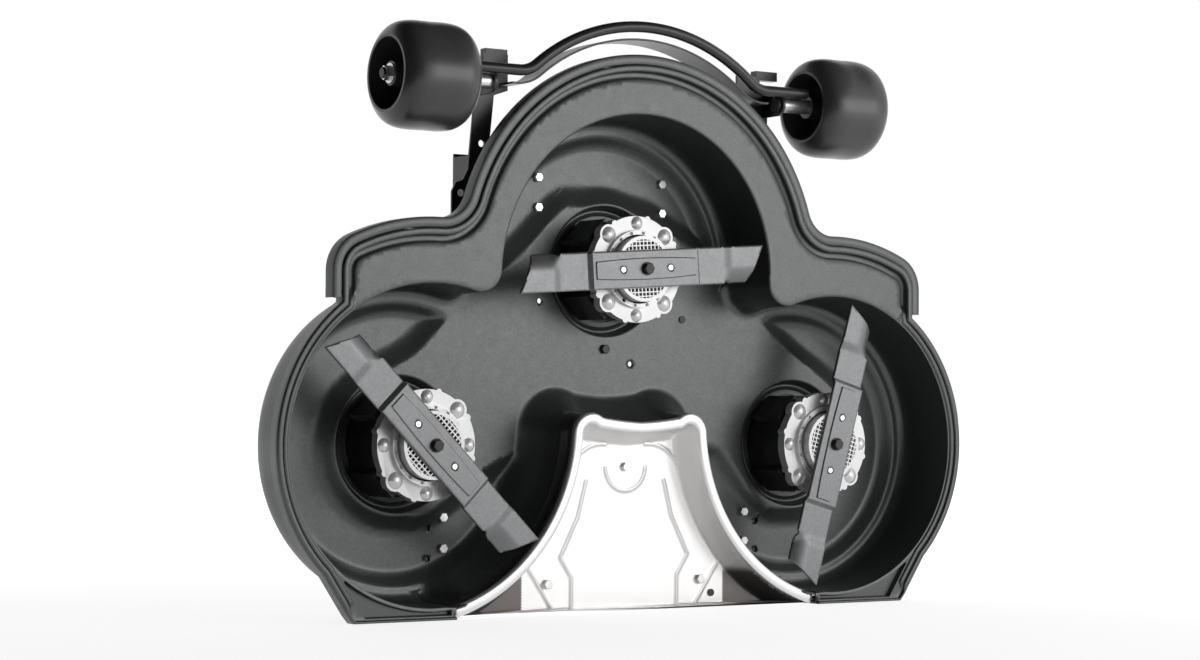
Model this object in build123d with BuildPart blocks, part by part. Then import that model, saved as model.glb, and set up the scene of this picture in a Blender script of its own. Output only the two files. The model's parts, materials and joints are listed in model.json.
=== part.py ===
from build123d import *

import os
from math import atan2, cos, hypot, radians, sin, sqrt

# A riding mower's cutting deck with three spindles, standing on its rear edge.
# X runs across the deck, Z from the rear edge to the front, and Y from the open
# underside (Y = 0 is the plane of the lip) up to the side that faces the mower.

# Cutting layout: neighbouring blade circles pass each other with a gap
hub_offset = 350.0
side_hub_z = 241.5
blade_length = 430.0
blade_gap = 3.57
tip_clearance = 9.0
blade_turns = {"left": -45.2, "middle": 4.0, "right": 74.0}
chamber_r = blade_length / 2 + tip_clearance
middle_hub_z = side_hub_z + sqrt((blade_length + blade_gap) ** 2 - hub_offset**2)
hubs = {
    "left": (-hub_offset, side_hub_z, blade_turns["left"]),
    "middle": (0.0, middle_hub_z, blade_turns["middle"]),
    "right": (hub_offset, side_hub_z, blade_turns["right"]),
}

# Sheet and levels of the shell, measured from the lip plane
sheet = 3.0
ledge_y = 5.0
groove_y = 11.0
plate_y = 112.0
pocket_y = 129.0
skirt_depth = 22.0
hole_r = 4.0
screw_hole_r = 3.2
roof_y = pocket_y + sheet
plate_top = plate_y + sheet

# Lip in plan: margins outside the chamber, shoulders at the front, rear corners
front_margin = 72.5
shoulder_margin = 77.5
shoulder_reach = 148.0
shoulder_round = 40.0
shoulder_low_z = 341.5
side_margin = 21.0
neck_round = 62.0
bead = 10.0
groove = 10.0
corner_top_drop = 154.0
corner_cut = 5.05
corner_foot_reach = 134.8
corner_foot_z = 10.5
foot_reach = 126.0
apron_inner_reach = -20.0
apron_roof_reach = 30.0
front_r = chamber_r + front_margin
shoulder_r = chamber_r + shoulder_margin
shoulder_x = hub_offset + shoulder_reach
side_rim_r = chamber_r + side_margin
corner_top_reach = sqrt(side_rim_r**2 - corner_top_drop**2) - corner_cut
corner_top = (hub_offset + corner_top_reach, side_hub_z - corner_top_drop)
corner_foot = (hub_offset + corner_foot_reach, corner_foot_z)
foot_x = hub_offset + foot_reach
apron_x = hub_offset + apron_inner_reach
apron_roof_x = hub_offset + apron_roof_reach

# Chamber in plan: the middle one opens out to the left, towards its neighbour
volute_swell = 19.0
volute_half_swell = 6.3
volute_half_turn = 139.8
volute_drop = 7.0
chamber_neck_round = 35.0
neck_low_z = side_hub_z + 150.0
neck_inset = 20.0

# Pockets round the motors, in plan; tongues are given from their own spindle
pocket_outer_r = 196.0
tongue_r = 121.0
middle_tongue = (
    (0.0, 0.0),
    (-70.0, 87.6),
    (-240.0, -57.4),
    (-240.0, -197.4),
    (240.0, -197.4),
    (240.0, -27.4),
    (180.0, 32.6),
    (85.0, 72.6),
)
side_tongue = (
    (0.0, 0.0),
    (-5.0, 103.5),
    (-88.0, 186.5),
    (-250.0, 186.5),
    (-250.0, -1.5),
    (-205.0, -1.5),
    (-130.0, -84.5),
    (-50.0, -101.5),
)

# Band on the front edge
band_width = 15.0
band_end_z = 441.0
band_depth = 24.0
band_gap = 0.3
band_start_y = 2.0

# Mulching insert and the tunnel behind it
insert_y = 12.0
insert_floor_y = 57.0
insert_bead = 17.0
insert_bead_height = 10.0
insert_dip_z = 274.7
insert_dip_sag = 2.4
shoulder_centre = (86.0, 257.0)
shoulder_arc = 31.0
shoulder_turn = 128.0
flank_clearance = 5.5
flank_turn = 214.4
flank_foot = (314.0, 17.0)
flank_end = 2.0
wall_inset = 3.5
insert_gap = 0.3
insert_taper = 14.0
insert_bolts = ((0.0, 208.4), (-134.2, 40.4), (134.2, 40.4))
insert_screw = (155.4, 19.4)
boss_r = 10.0

# Motor, its flange on the roof and the finned cap on the mower's side
motor_r = 73.0
motor_bore = 74.0
motor_start_y = 46.0
motor_recess = 10.0
motor_land_r = 81.0
motor_land_y = 121.0
motor_land_circle = 70.0
motor_land_width = 46.0
land_step = 6.0
motor_flange_r = 92.0
motor_flange = 6.0
cap_r = 78.0
cap_height = 34.0
cap_round = 8.0
cap_cavity = 14.0
fin_count = 24
fin_depth = 5.0
fin_width = 3.0
dish_r = 94.5
fixing_circle = 84.0
fixing_count = 6
fixing_turn = 30.0
fixing_r = 3.0
fixing_head_r = 5.5
fixing_head = 5.0
fit = 0.05

# End shield with its ears, lugs, slotted collar and round-headed screws
shield_y = 30.0
shield_r = 78.0
ear_r = 15.0
ear_circle = 69.5
lug_r = 5.0
lug_circle = 76.0
lug_turn = 30.5
shield_bore = 50.5
collar_r = 57.0
collar_y = 23.0
slot_length = 4.0
slot_width = 5.0
slot_count = 16
slot_circle = 53.3
small_dome_r = 10.0
small_dome_circle = 67.5
large_dome_r = 12.0
large_dome_circle = 69.0
dome_height = 5.0
dome_shank_r = 3.0
dome_shank = 10.0

# Blade and what drives it
blade_width = 55.0
blade_sheet = 4.0
blade_y = 4.0
blade_reach_y = 40.0
joggle_start = 92.0
joggle_end = 100.0
joggle = 6.0
wing_start = 142.0
wing_end = 160.0
wing_lift = 11.0
tip_sweep = 28.0
panel_length = 176.0
panel_width = 32.0
panel_end_width = 26.0
panel_rise = 1.0
carrier_r = 48.0
carrier_sheet = 4.0
carrier_depth = 19.0
sleeve_r = 16.0
sleeve_proud = 2.0
shaft_r = 8.0
shaft_gap = 1.0
shaft_end_y = 148.0
pin_r = 4.0
pin_offset = 41.5
pin_hole_r = 5.0
pin_proud = 1.5
window_edge = 28.0
window_r = 43.0
window_columns = 5
window_rows = 2
rib = 1.7
column_pitch = 6.5
row_pitch = 6.0
bolt_r = 5.0
bolt_depth = 24.0
bolt_end_gap = 1.0
bolt_head_af = 15.0
bolt_head = 7.0
bolt_flange_r = 10.0
bolt_flange = 2.0

# Deck fasteners, placed from the spindles
m8_r = 4.0
m8_hole_r = 4.4
m8_af = 13.0
m8_head = 6.0
m8_nut = 7.0
thread_proud = 2.0
head_bevel = 0.8
front_bolt_x = 110.0
front_bolt_z = (middle_hub_z + 135.6, middle_hub_z + 91.6)
side_bolt_x = hub_offset - 83.0
side_bolt_z = (side_hub_z - 105.5, side_hub_z - 150.0)
drain_x = hub_offset - 59.0
drain_z = (side_hub_z - 120.0, side_hub_z - 164.5)
centre_bolt = (-1.8, middle_hub_z - 115.6)
plate_holes = ((-115.6, middle_hub_z - 46.9), (44.9, middle_hub_z - 137.2))
plate_screw = (138.9, middle_hub_z - 68.7)
screw_head_r = 5.5
screw_head = 2.0
screw_end = 4.0
screw_play = 0.1

# Front guard, its strap, arms, axles and wheels; heights are from the middle spindle
rail_r = 8.0
rail_y = 7.0
rail_arch_r = front_r - 0.2
rail_arch_z = middle_hub_z + 56.1
rail_bend = 45.0
rail_end_z = middle_hub_z + 274.35
rail_end_x = 292.0
strap_shift = 9.8
strap_sheet = 3.0
strap_y = 12.0
strap_end_x = 226.0
arm_y = 62.0
arm_sheet = 4.0
arm_hole_r = 5.0
web_x = 250.0
web_low = 82.6
web_high = 157.6
foot_inner_x = 85.0
foot_low = 72.6
foot_high = 162.6
arm_outline = (
    (229.0, 302.6),
    (203.0, 302.6),
    (203.0, 250.6),
    (226.0, 242.6),
    (231.0, 192.6),
    (237.0, 142.6),
    (245.0, 82.6),
    (258.0, 62.6),
    (294.0, 62.6),
    (294.0, 102.6),
    (287.5, 115.6),
    (276.0, 119.6),
    (268.0, 134.6),
    (260.0, 216.6),
    (262.0, 277.6),
    (246.0, 292.6),
    (246.0, 302.6),
)
arm_holes = ((280.0, 100.6), (246.0, 172.6))
hooks = {"left": (-241.0, -204.0, 289.6, 309.6), "right": (239.0, 279.0, 297.6, 311.6)}
hook_depth = 76.0
axle_y = 26.0
axle_z = middle_hub_z + 257.2
axle_r = 8.0
axle_head_r = 12.0
axle_head = 6.0
axle_bevel = 1.5
axle_lug_x = 252.0
axle_lug_r = 17.0
axle_fit = 0.08
end_float = 0.3
spacer_wall = 3.0
washer_r = 14.0
washer = 2.0
axle_nut_af = 18.0
axle_nut = 9.0
wheel_x = 300.0
wheel_width = 121.4
wheel_r = 75.6
wheel_end_r = 54.6
wheel_mouth_r = 50.5
wheel_deep_r = 46.0
wheel_web = 8.0
wheel_boss_r = 17.0
wheel_boss_inset = 7.0
wheel_crown = 6
wheel_stations = (-1, -0.93, -0.8, -0.55, 0, 0.55, 0.8, 0.93, 1)

# Rear hangers under the side bolts
hanger_width = 60.0
hanger_length = 92.0
hanger_corner = 8.0
hanger_sheet = 4.0
hanger_height = 46.0
hanger_hole_r = 6.5

# Depth of the origin: midway between the wheels' face and the hangers' top
stack_y = roof_y + arm_sheet
stand_y = (axle_y - wheel_r + stack_y + hanger_height) / 2


def at_depth(y):
    """Drawing plane parallel to the lip plane, facing the open underside."""
    return Plane.XZ.offset(-y)


def at_hub(hub, y):
    """Drawing plane on a spindle's axis, turned so that its x runs along the blade."""
    x, z, turn = hubs[hub]
    along = (cos(radians(turn)), 0, sin(radians(turn)))
    return Plane(origin=(x, y, z), x_dir=along, z_dir=(0, -1, 0))


def save(piece, name):
    """Set a finished piece in the standing frame, label it and write its own file."""
    piece.part.position -= (0, stand_y, 0)
    piece.part.label = name
    export_step(piece.part, f"parts/{name}.step")


os.makedirs("parts", exist_ok=True)

def polar(centre, reach, angle):
    """Point at a distance and an angle, in degrees, from a centre in plan."""
    return centre[0] + reach * cos(radians(angle)), centre[1] + reach * sin(radians(angle))


# Outline of the mulching insert: two shoulders, a dip between them that clears the
# middle blade, and flanks that clear the side blades
dip_end = polar(shoulder_centre, shoulder_arc, shoulder_turn)
shoulder_top = polar(shoulder_centre, shoulder_arc, shoulder_turn / 2)
flank_top = polar(shoulder_centre, shoulder_arc, 0)
flank_mid = polar(hubs["right"], blade_length / 2 + flank_clearance, flank_turn)
with BuildSketch() as insert_plan:
    with BuildLine():
        ThreePointArc((0, insert_dip_z), (dip_end[0] / 2, insert_dip_z + insert_dip_sag), dip_end)
        ThreePointArc(dip_end, shoulder_top, flank_top)
        ThreePointArc(flank_top, flank_mid, flank_foot)
        Polyline(flank_foot, (flank_foot[0] + flank_end, -bead), (0, -bead), (0, insert_dip_z))
    make_face()
    mirror(about=Plane.YZ)

# Outline of the cutting chamber: a circle for each blade, opened out to the left of
# the middle one, with the centre plate between them
volute_x = -chamber_r - volute_swell
volute_mid = polar(hubs["middle"], chamber_r + volute_half_swell, volute_half_turn)
volute_end = (volute_x, middle_hub_z - volute_drop)
with BuildSketch() as chamber_plan:
    with Locations((-hub_offset, side_hub_z), (hub_offset, side_hub_z), (0, middle_hub_z)):
        Circle(chamber_r)
    with BuildLine():
        ThreePointArc((0, middle_hub_z + chamber_r), volute_mid, volute_end)
        Polyline(
            volute_end,
            (volute_x, side_hub_z),
            (chamber_r, side_hub_z),
            (chamber_r, middle_hub_z),
            (0, middle_hub_z + chamber_r),
        )
    make_face()
    with Locations((0, side_hub_z / 2)):
        Rectangle(2 * flank_foot[0], side_hub_z)
    corners = chamber_plan.vertices().filter_by_position(Axis.Y, neck_low_z, middle_hub_z - neck_inset)
    fillet([v for v in corners if abs(v.X) > chamber_r - neck_inset], chamber_neck_round)
    with BuildSketch(mode=Mode.PRIVATE) as tunnel_cut:
        add(insert_plan.sketch)
        offset(amount=-wall_inset)
    add(tunnel_cut.sketch, mode=Mode.SUBTRACT)
    with Locations((0, -side_hub_z)):
        Rectangle(4 * hub_offset, 2 * side_hub_z, mode=Mode.SUBTRACT)


def lip_at(inset):
    """Outline of the shell's lip, brought in by a distance from its edge: an arc about
    each spindle, rounded shoulders at the front and a gusset at each rear corner."""
    reach = corner_top[0] - corner_foot[0], corner_top[1] - corner_foot[1]
    share = inset / hypot(*reach)
    shift = (-reach[1] * share, reach[0] * share)
    with BuildSketch() as shoulders:
        with Locations((-hub_offset, side_hub_z), (hub_offset, side_hub_z)):
            Circle(shoulder_r - inset)
        with Locations((0, shoulder_low_z + shoulder_r)):
            Rectangle(2 * (shoulder_x - inset), 2 * shoulder_r, mode=Mode.INTERSECT)
        outer = shoulders.vertices().filter_by_position(Axis.Y, band_end_z, side_hub_z + shoulder_r)
        fillet([v for v in outer if abs(v.X) > shoulder_x - inset - sheet], shoulder_round - inset)
    with BuildSketch() as outline:
        add(shoulders.sketch)
        with Locations((0, middle_hub_z)):
            Circle(front_r - inset)
        with Locations((0, middle_hub_z / 2)):
            Rectangle(2 * hub_offset, middle_hub_z)
        front_z = middle_hub_z + front_r
        corners = outline.vertices().filter_by_position(Axis.Y, middle_hub_z, front_z)
        fillet([v for v in corners if chamber_r < abs(v.X) < hub_offset], neck_round + inset)
        with Locations((-hub_offset, side_hub_z), (hub_offset, side_hub_z)):
            Circle(side_rim_r - inset)
        for side in (-1, 1):
            Polygon(
                (side * (corner_top[0] + shift[0]), corner_top[1] + shift[1]),
                (side * (corner_foot[0] + shift[0]), corner_foot[1] + shift[1]),
                (side * (foot_x + shift[0]), shift[1]),
                (side * (foot_x + shift[0]), -bead),
                (0, -bead),
                (0, side_hub_z),
                align=None,
            )
        with Locations((0, inset - side_hub_z)):
            Rectangle(4 * hub_offset, 2 * side_hub_z, mode=Mode.SUBTRACT)
    return outline.sketch


def lip_ring(outer, inner):
    """Ring along the lip, between two distances in from its edge."""
    add(lip_at(outer))
    add(lip_at(inner), mode=Mode.SUBTRACT)


# Pockets in the chamber roof, deeper than the centre plate, one round each motor. The
# plate reaches each motor as a tongue.
with BuildSketch() as pocket_plan:
    for x, z, turn in hubs.values():
        with Locations((x, z)):
            Circle(pocket_outer_r)
            Circle(tongue_r, mode=Mode.SUBTRACT)
    Polygon(*[(x, middle_hub_z + z) for x, z in middle_tongue], align=None, mode=Mode.SUBTRACT)
    for side in (-1, 1):
        tongue = [(side * (hub_offset + x), side_hub_z + z) for x, z in side_tongue]
        Polygon(*tongue, align=None, mode=Mode.SUBTRACT)

# Shell, pressed from one sheet: lip, groove, ledge, chamber walls, roof and tunnel
with BuildPart() as deck_shell:
    with BuildSketch(at_depth(ledge_y + sheet)):
        add(lip_at(bead + groove))
    extrude(amount=sheet)
    with BuildSketch(at_depth(sheet)):
        lip_ring(0, bead)
    extrude(amount=sheet)
    with BuildSketch(at_depth(skirt_depth)):
        lip_ring(0, sheet)
    extrude(amount=skirt_depth)
    with BuildSketch(at_depth(groove_y + sheet)):
        lip_ring(bead - sheet, bead + groove + sheet)
    extrude(amount=groove_y + sheet / 2)
    with BuildSketch(at_depth(groove_y)):
        lip_ring(bead, bead + groove)
    extrude(amount=groove_y, mode=Mode.SUBTRACT)
    with BuildSketch(at_depth(ledge_y)):
        add(lip_at(bead + groove))
    extrude(amount=ledge_y, mode=Mode.SUBTRACT)
    with BuildSketch(at_depth(plate_y + sheet)):
        add(chamber_plan.sketch)
        offset(amount=sheet)
    extrude(amount=plate_y + sheet - ledge_y)
    with BuildSketch(at_depth(roof_y)):
        add(pocket_plan.sketch)
        offset(amount=sheet)
    extrude(amount=roof_y - plate_y)
    with BuildSketch(at_depth(roof_y)):
        for x, z, turn in hubs.values():
            with Locations((x, z)):
                Circle(dish_r + sheet)
    extrude(amount=roof_y - plate_y)
    with BuildSketch(at_depth(plate_y)):
        add(chamber_plan.sketch)
    extrude(amount=plate_y + sheet, mode=Mode.SUBTRACT)
    with BuildSketch(at_depth(pocket_y)):
        add(pocket_plan.sketch)
    extrude(amount=pocket_y - plate_y, mode=Mode.SUBTRACT)
    with BuildSketch(at_depth(pocket_y)):
        for x, z, turn in hubs.values():
            with Locations((x, z)):
                Circle(dish_r)
    extrude(amount=pocket_y - plate_y, mode=Mode.SUBTRACT)
    # the tunnel behind the insert, roofed by the centre plate and open to the rear
    with BuildSketch(at_depth(plate_y + sheet)):
        add(insert_plan.sketch)
        offset(amount=-wall_inset)
        with Locations((0, -side_hub_z)):
            Rectangle(4 * hub_offset, 2 * side_hub_z, mode=Mode.SUBTRACT)
    extrude(amount=sheet)
    with BuildSketch(at_depth(plate_y)):
        add(insert_plan.sketch)
        offset(amount=-wall_inset - sheet)
    extrude(amount=plate_y + sheet, mode=Mode.SUBTRACT)
    # seat of the insert's rim on the tunnel's wall
    with BuildSketch(at_depth(insert_y + insert_bead_height)):
        add(insert_plan.sketch)
        offset(amount=insert_gap)
    extrude(amount=insert_y + insert_bead_height, mode=Mode.SUBTRACT)
    # aprons that the deck stands on, from the tunnel outwards, narrower away from the lip
    for side in (-1, 1):
        with BuildSketch(Plane.XY):
            Polygon(
                (side * apron_x, 0),
                (side * foot_x, 0),
                (side * foot_x, skirt_depth),
                (side * apron_roof_x, roof_y),
                (side * apron_x, roof_y),
                align=None,
            )
        extrude(amount=sheet)
    # holes for the motors, bolts, drains and screw
    with BuildSketch(at_depth(roof_y)):
        for x, z, turn in hubs.values():
            with Locations((x, z)):
                Circle(motor_bore)
        for x in (-front_bolt_x, front_bolt_x):
            with Locations(*[(x, z) for z in front_bolt_z]):
                Circle(m8_hole_r)
        for x in (-side_bolt_x, side_bolt_x):
            with Locations(*[(x, z) for z in side_bolt_z]):
                Circle(m8_hole_r)
        for x in (-drain_x, drain_x):
            with Locations(*[(x, z) for z in drain_z]):
                Circle(hole_r)
        with Locations(centre_bolt, *insert_bolts):
            Circle(m8_hole_r)
        with Locations(*plate_holes):
            Circle(hole_r)
        with Locations(plate_screw):
            Circle(screw_hole_r)
    extrude(amount=roof_y - plate_y, mode=Mode.SUBTRACT)
save(deck_shell, "deck_shell")

# Protective band clipped round the lip at the front, a channel open to the top
with BuildPart() as front_band:
    for inset, mode in ((0, Mode.ADD), (sheet, Mode.SUBTRACT)):
        with BuildSketch(at_depth(band_depth)):
            lip_ring(inset - band_width, -band_gap - inset)
            with Locations((0, band_end_z + hub_offset + inset)):
                Rectangle(4 * hub_offset, 2 * hub_offset, mode=Mode.INTERSECT)
        extrude(amount=band_depth - band_start_y - inset, mode=mode)
save(front_band, "front_band")


def insert_layer(inset):
    """Outline of the insert, brought in from its edge and kept open at the rear."""
    add(insert_plan.sketch)
    offset(amount=-inset)
    Rectangle(2 * (flank_foot[0] - inset), 2 * bead)


# Mulching insert: a tray with a rolled rim, sloping sides and bosses for its bolts
with BuildPart() as mulch_insert:
    with BuildSketch(at_depth(insert_y + insert_bead_height)):
        add(insert_plan.sketch)
    extrude(amount=insert_bead_height)
    with BuildSketch(at_depth(insert_y)):
        insert_layer(wall_inset + sheet + insert_gap)
    extrude(amount=-(insert_floor_y + sheet - insert_y), taper=insert_taper)
    with BuildSketch(at_depth(insert_y)):
        insert_layer(insert_bead)
    extrude(amount=-(insert_floor_y - insert_y), taper=insert_taper, mode=Mode.SUBTRACT)
    with BuildSketch(at_depth(plate_y)):
        with Locations(*insert_bolts):
            Circle(boss_r)
    extrude(amount=plate_y - insert_floor_y - sheet)
    with BuildSketch(at_depth(plate_y)):
        with Locations(*insert_bolts):
            Circle(m8_r + fit)
    extrude(amount=plate_y - insert_floor_y, mode=Mode.SUBTRACT)
    with BuildSketch(at_depth(insert_floor_y + sheet)):
        with Locations(insert_screw):
            Circle(screw_hole_r)
    extrude(amount=sheet, mode=Mode.SUBTRACT)
    with Locations((0, plate_y / 2, -hub_offset / 2)):
        Box(4 * hub_offset, 2 * plate_y, hub_offset, mode=Mode.SUBTRACT)
save(mulch_insert, "mulch_insert")


def hex_bolts(piece, places, seat_y, end_y):
    """Hexagon-headed bolts along Y: head down to its seat, then the shank."""
    with BuildPart() as bolts:
        with BuildSketch(at_depth(seat_y)):
            with Locations(*places):
                RegularPolygon(m8_af / 2, 6, major_radius=False)
        extrude(amount=m8_head)
        chamfer(bolts.faces().sort_by(Axis.Y)[: len(places)].edges(), head_bevel)
        with BuildSketch(at_depth(end_y)):
            with Locations(*places):
                Circle(m8_r)
        extrude(amount=end_y - seat_y)
    save(bolts, piece)


def hex_nuts(piece, places, seat_y):
    """Hexagon nuts along Y, standing on their seat."""
    with BuildPart() as nuts:
        with BuildSketch(at_depth(seat_y + m8_nut)):
            with Locations(*places):
                RegularPolygon(m8_af / 2, 6, major_radius=False)
            with Locations(*places):
                Circle(m8_r + fit, mode=Mode.SUBTRACT)
        extrude(amount=m8_nut)
        top_edges = nuts.faces().sort_by(Axis.Y)[-len(places) :].edges()
        chamfer(top_edges.filter_by(GeomType.LINE), head_bevel)
    save(nuts, piece)


# Bolts and nuts of the insert, the front arms, the rear hangers and the centre plate
front_places = [(x, z) for x in (-front_bolt_x, front_bolt_x) for z in front_bolt_z]
side_places = [(x, z) for x in (-side_bolt_x, side_bolt_x) for z in side_bolt_z]
hex_bolts("insert_bolts", insert_bolts, insert_floor_y, plate_top + thread_proud)
hex_bolts("front_bolts", front_places, pocket_y, stack_y + m8_nut + thread_proud)
hex_bolts("side_bolts", side_places, pocket_y, stack_y + m8_nut + thread_proud)
hex_bolts("centre_bolt", [centre_bolt], plate_y, plate_top + m8_nut + thread_proud)
hex_nuts("front_nuts", front_places, stack_y)
hex_nuts("side_nuts", side_places, stack_y)
hex_nuts("centre_nut", [centre_bolt], plate_top)


# Small dark screws in the insert and the centre plate
with BuildPart() as cover_screws:
    for place, y in ((insert_screw, insert_floor_y), (plate_screw, plate_y)):
        with BuildSketch(at_depth(y)):
            with Locations(place):
                Circle(screw_head_r)
        extrude(amount=screw_head)
        with BuildSketch(at_depth(y + sheet + screw_end)):
            with Locations(place):
                Circle(screw_hole_r - screw_play)
        extrude(amount=sheet + screw_end)
save(cover_screws, "cover_screws")


def motor_housing(hub):
    """Motor body with four raised lands, and the flange it hangs from."""
    with BuildPart() as housing:
        with BuildSketch(at_hub(hub, roof_y + motor_flange)):
            Circle(motor_r)
        extrude(amount=roof_y + motor_flange - motor_start_y)
        with BuildSketch(at_hub(hub, roof_y + motor_flange)):
            Circle(motor_flange_r)
        extrude(amount=motor_flange)
        with BuildSketch(at_hub(hub, motor_land_y)):
            with PolarLocations(motor_land_circle, 4, start_angle=45 - hubs[hub][2]):
                Rectangle(2 * (motor_land_r - motor_land_circle), motor_land_width)
        extrude(amount=motor_land_y - motor_start_y - land_step)
        with BuildSketch(at_hub(hub, roof_y + motor_flange)):
            Circle(shaft_r + shaft_gap)
        extrude(amount=roof_y + motor_flange - motor_start_y, mode=Mode.SUBTRACT)
        with BuildSketch(at_hub(hub, motor_start_y + motor_recess)):
            Circle(collar_r - sheet)
        extrude(amount=motor_recess, mode=Mode.SUBTRACT)
        with BuildSketch(at_hub(hub, roof_y + motor_flange)):
            with PolarLocations(fixing_circle, fixing_count, start_angle=fixing_turn - hubs[hub][2]):
                Circle(fixing_r)
        extrude(amount=motor_flange, mode=Mode.SUBTRACT)
    save(housing, f"{hub}_motor_housing")


def motor_cap(hub):
    """Finned cap over the motor on the mower's side, with a plug socket."""
    with BuildPart() as cap:
        low_y = roof_y + motor_flange
        with BuildSketch(at_hub(hub, low_y + cap_height)):
            Circle(cap_r - fin_depth)
        extrude(amount=cap_height)
        fillet(cap.faces().sort_by(Axis.Y)[-1].edges(), cap_round)
        with BuildSketch(at_hub(hub, low_y + cap_height - cap_round)):
            with PolarLocations(cap_r - fin_depth, fin_count):
                Rectangle(2 * fin_depth, fin_width)
        extrude(amount=cap_height - cap_round)
        with BuildSketch(at_hub(hub, low_y + cap_cavity)):
            Circle(shaft_r + shaft_gap)
        extrude(amount=cap_cavity, mode=Mode.SUBTRACT)
    save(cap, f"{hub}_motor_cap")


def motor_fixings(hub):
    """Screws through the motor's flange into the shell."""
    with BuildPart() as screws:
        seat_y = roof_y + motor_flange
        with BuildSketch(at_hub(hub, seat_y + fixing_head)):
            with PolarLocations(fixing_circle, fixing_count, start_angle=fixing_turn - hubs[hub][2]):
                Circle(fixing_head_r)
        extrude(amount=fixing_head)
        with BuildSketch(at_hub(hub, seat_y)):
            with PolarLocations(fixing_circle, fixing_count, start_angle=fixing_turn - hubs[hub][2]):
                Circle(fixing_r - fit)
        extrude(amount=motor_flange)
    save(screws, f"{hub}_motor_screws")


def end_shield(hub):
    """Cast end shield with an ear at each diagonal and a collar of square slots."""
    turn = hubs[hub][2]
    with BuildPart() as shield:
        with BuildSketch(at_hub(hub, motor_start_y)):
            Circle(shield_r)
            with PolarLocations(ear_circle, 4, start_angle=45 - turn):
                Circle(ear_r)
            with PolarLocations(lug_circle, 8, start_angle=lug_turn - turn):
                Circle(lug_r)
        extrude(amount=motor_start_y - shield_y)
        with BuildSketch(at_hub(hub, shield_y)):
            Circle(collar_r)
        extrude(amount=shield_y - collar_y)
        with BuildSketch(at_hub(hub, motor_start_y)):
            Circle(shield_bore)
        extrude(amount=motor_start_y - collar_y, mode=Mode.SUBTRACT)
        with BuildSketch(at_hub(hub, collar_y + slot_width)):
            with PolarLocations(slot_circle, slot_count, start_angle=180 / slot_count):
                Rectangle(slot_length, slot_width)
        extrude(amount=slot_width, mode=Mode.SUBTRACT)
        with BuildSketch(at_hub(hub, motor_start_y)):
            with PolarLocations(small_dome_circle, 4, start_angle=-turn):
                Circle(dome_shank_r + fit)
            with PolarLocations(large_dome_circle, 4, start_angle=45 - turn):
                Circle(dome_shank_r + fit)
        extrude(amount=motor_start_y - shield_y, mode=Mode.SUBTRACT)
    save(shield, f"{hub}_end_shield")


def dome_middle(r):
    """Point half way up a round head, whose section is an arc level at its top."""
    ball = (r**2 + dome_height**2) / (2 * dome_height)
    half = atan2(r, ball - dome_height) / 2
    return ball * sin(half), dome_height - ball + ball * cos(half)


def shield_screws(hub):
    """Eight round-headed screws in the end shield, small and large in turn."""
    x, z, _ = hubs[hub]
    with BuildPart() as screws:
        small = (small_dome_r, small_dome_circle, 0)
        large = (large_dome_r, large_dome_circle, 45)
        for r, circle, first in (small, large):
            for quarter in range(4):
                at_x, at_z = polar((x, z), circle, first + 90 * quarter)
                centre = (at_x, shield_y, at_z)
                with BuildSketch(Plane(origin=centre, x_dir=(1, 0, 0), z_dir=(0, 0, -1))):
                    with BuildLine():
                        Polyline((0, -dome_shank), (dome_shank_r, -dome_shank), (dome_shank_r, 0), (r, 0))
                        ThreePointArc((r, 0), dome_middle(r), (0, dome_height))
                        Line((0, dome_height), (0, -dome_shank))
                    make_face()
                revolve(axis=Axis(centre, (0, -1, 0)))
    save(screws, f"{hub}_shield_screws")


def blade_carrier(hub):
    """Cup that carries the blade, with two grilles and a sleeve on the shaft."""
    with BuildPart() as carrier:
        face_y = blade_y + blade_sheet
        back_y = face_y + carrier_depth
        with BuildSketch(at_hub(hub, back_y)):
            Circle(carrier_r)
        extrude(amount=carrier_depth)
        with BuildSketch(at_hub(hub, back_y)):
            Circle(carrier_r - sheet)
        extrude(amount=carrier_depth - carrier_sheet, mode=Mode.SUBTRACT)
        with BuildSketch(at_hub(hub, back_y + sleeve_proud)):
            Circle(sleeve_r)
        extrude(amount=carrier_depth + sleeve_proud - carrier_sheet)
        with BuildSketch(at_hub(hub, face_y + carrier_sheet)):
            Circle(window_r)
            Rectangle(2 * carrier_r, 2 * window_edge, mode=Mode.SUBTRACT)
            for column in range(-window_columns, window_columns + 1):
                with Locations((column * column_pitch, 0)):
                    Rectangle(rib, 2 * carrier_r, mode=Mode.SUBTRACT)
            for row in range(1, window_rows + 1):
                for side in (-1, 1):
                    with Locations((0, side * (window_edge + row * row_pitch))):
                        Rectangle(2 * carrier_r, rib, mode=Mode.SUBTRACT)
        extrude(amount=carrier_sheet, mode=Mode.SUBTRACT)
        with BuildSketch(at_hub(hub, back_y + sleeve_proud)):
            Circle(shaft_r + fit)
        extrude(amount=carrier_depth + sleeve_proud, mode=Mode.SUBTRACT)
        with BuildSketch(at_hub(hub, face_y + carrier_sheet)):
            with Locations((-pin_offset, 0), (pin_offset, 0)):
                Circle(pin_r + fit)
        extrude(amount=carrier_sheet, mode=Mode.SUBTRACT)
    save(carrier, f"{hub}_blade_carrier")


def across_blade(hub, along):
    """Drawing plane across the blade at a distance along it, x over its width, y up."""
    plane = at_hub(hub, 0)
    origin = plane.origin + plane.x_dir * along
    return Plane(origin=origin, x_dir=plane.y_dir, z_dir=-plane.x_dir)


def blade_strip(low_edge, high_edge):
    """Section of the sheet from its lower corners on the two edges of the blade."""
    half = blade_width / 2
    Polygon(
        (-half, low_edge),
        (half, high_edge),
        (half, high_edge + blade_sheet),
        (-half, low_edge + blade_sheet),
        align=None,
    )


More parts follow.
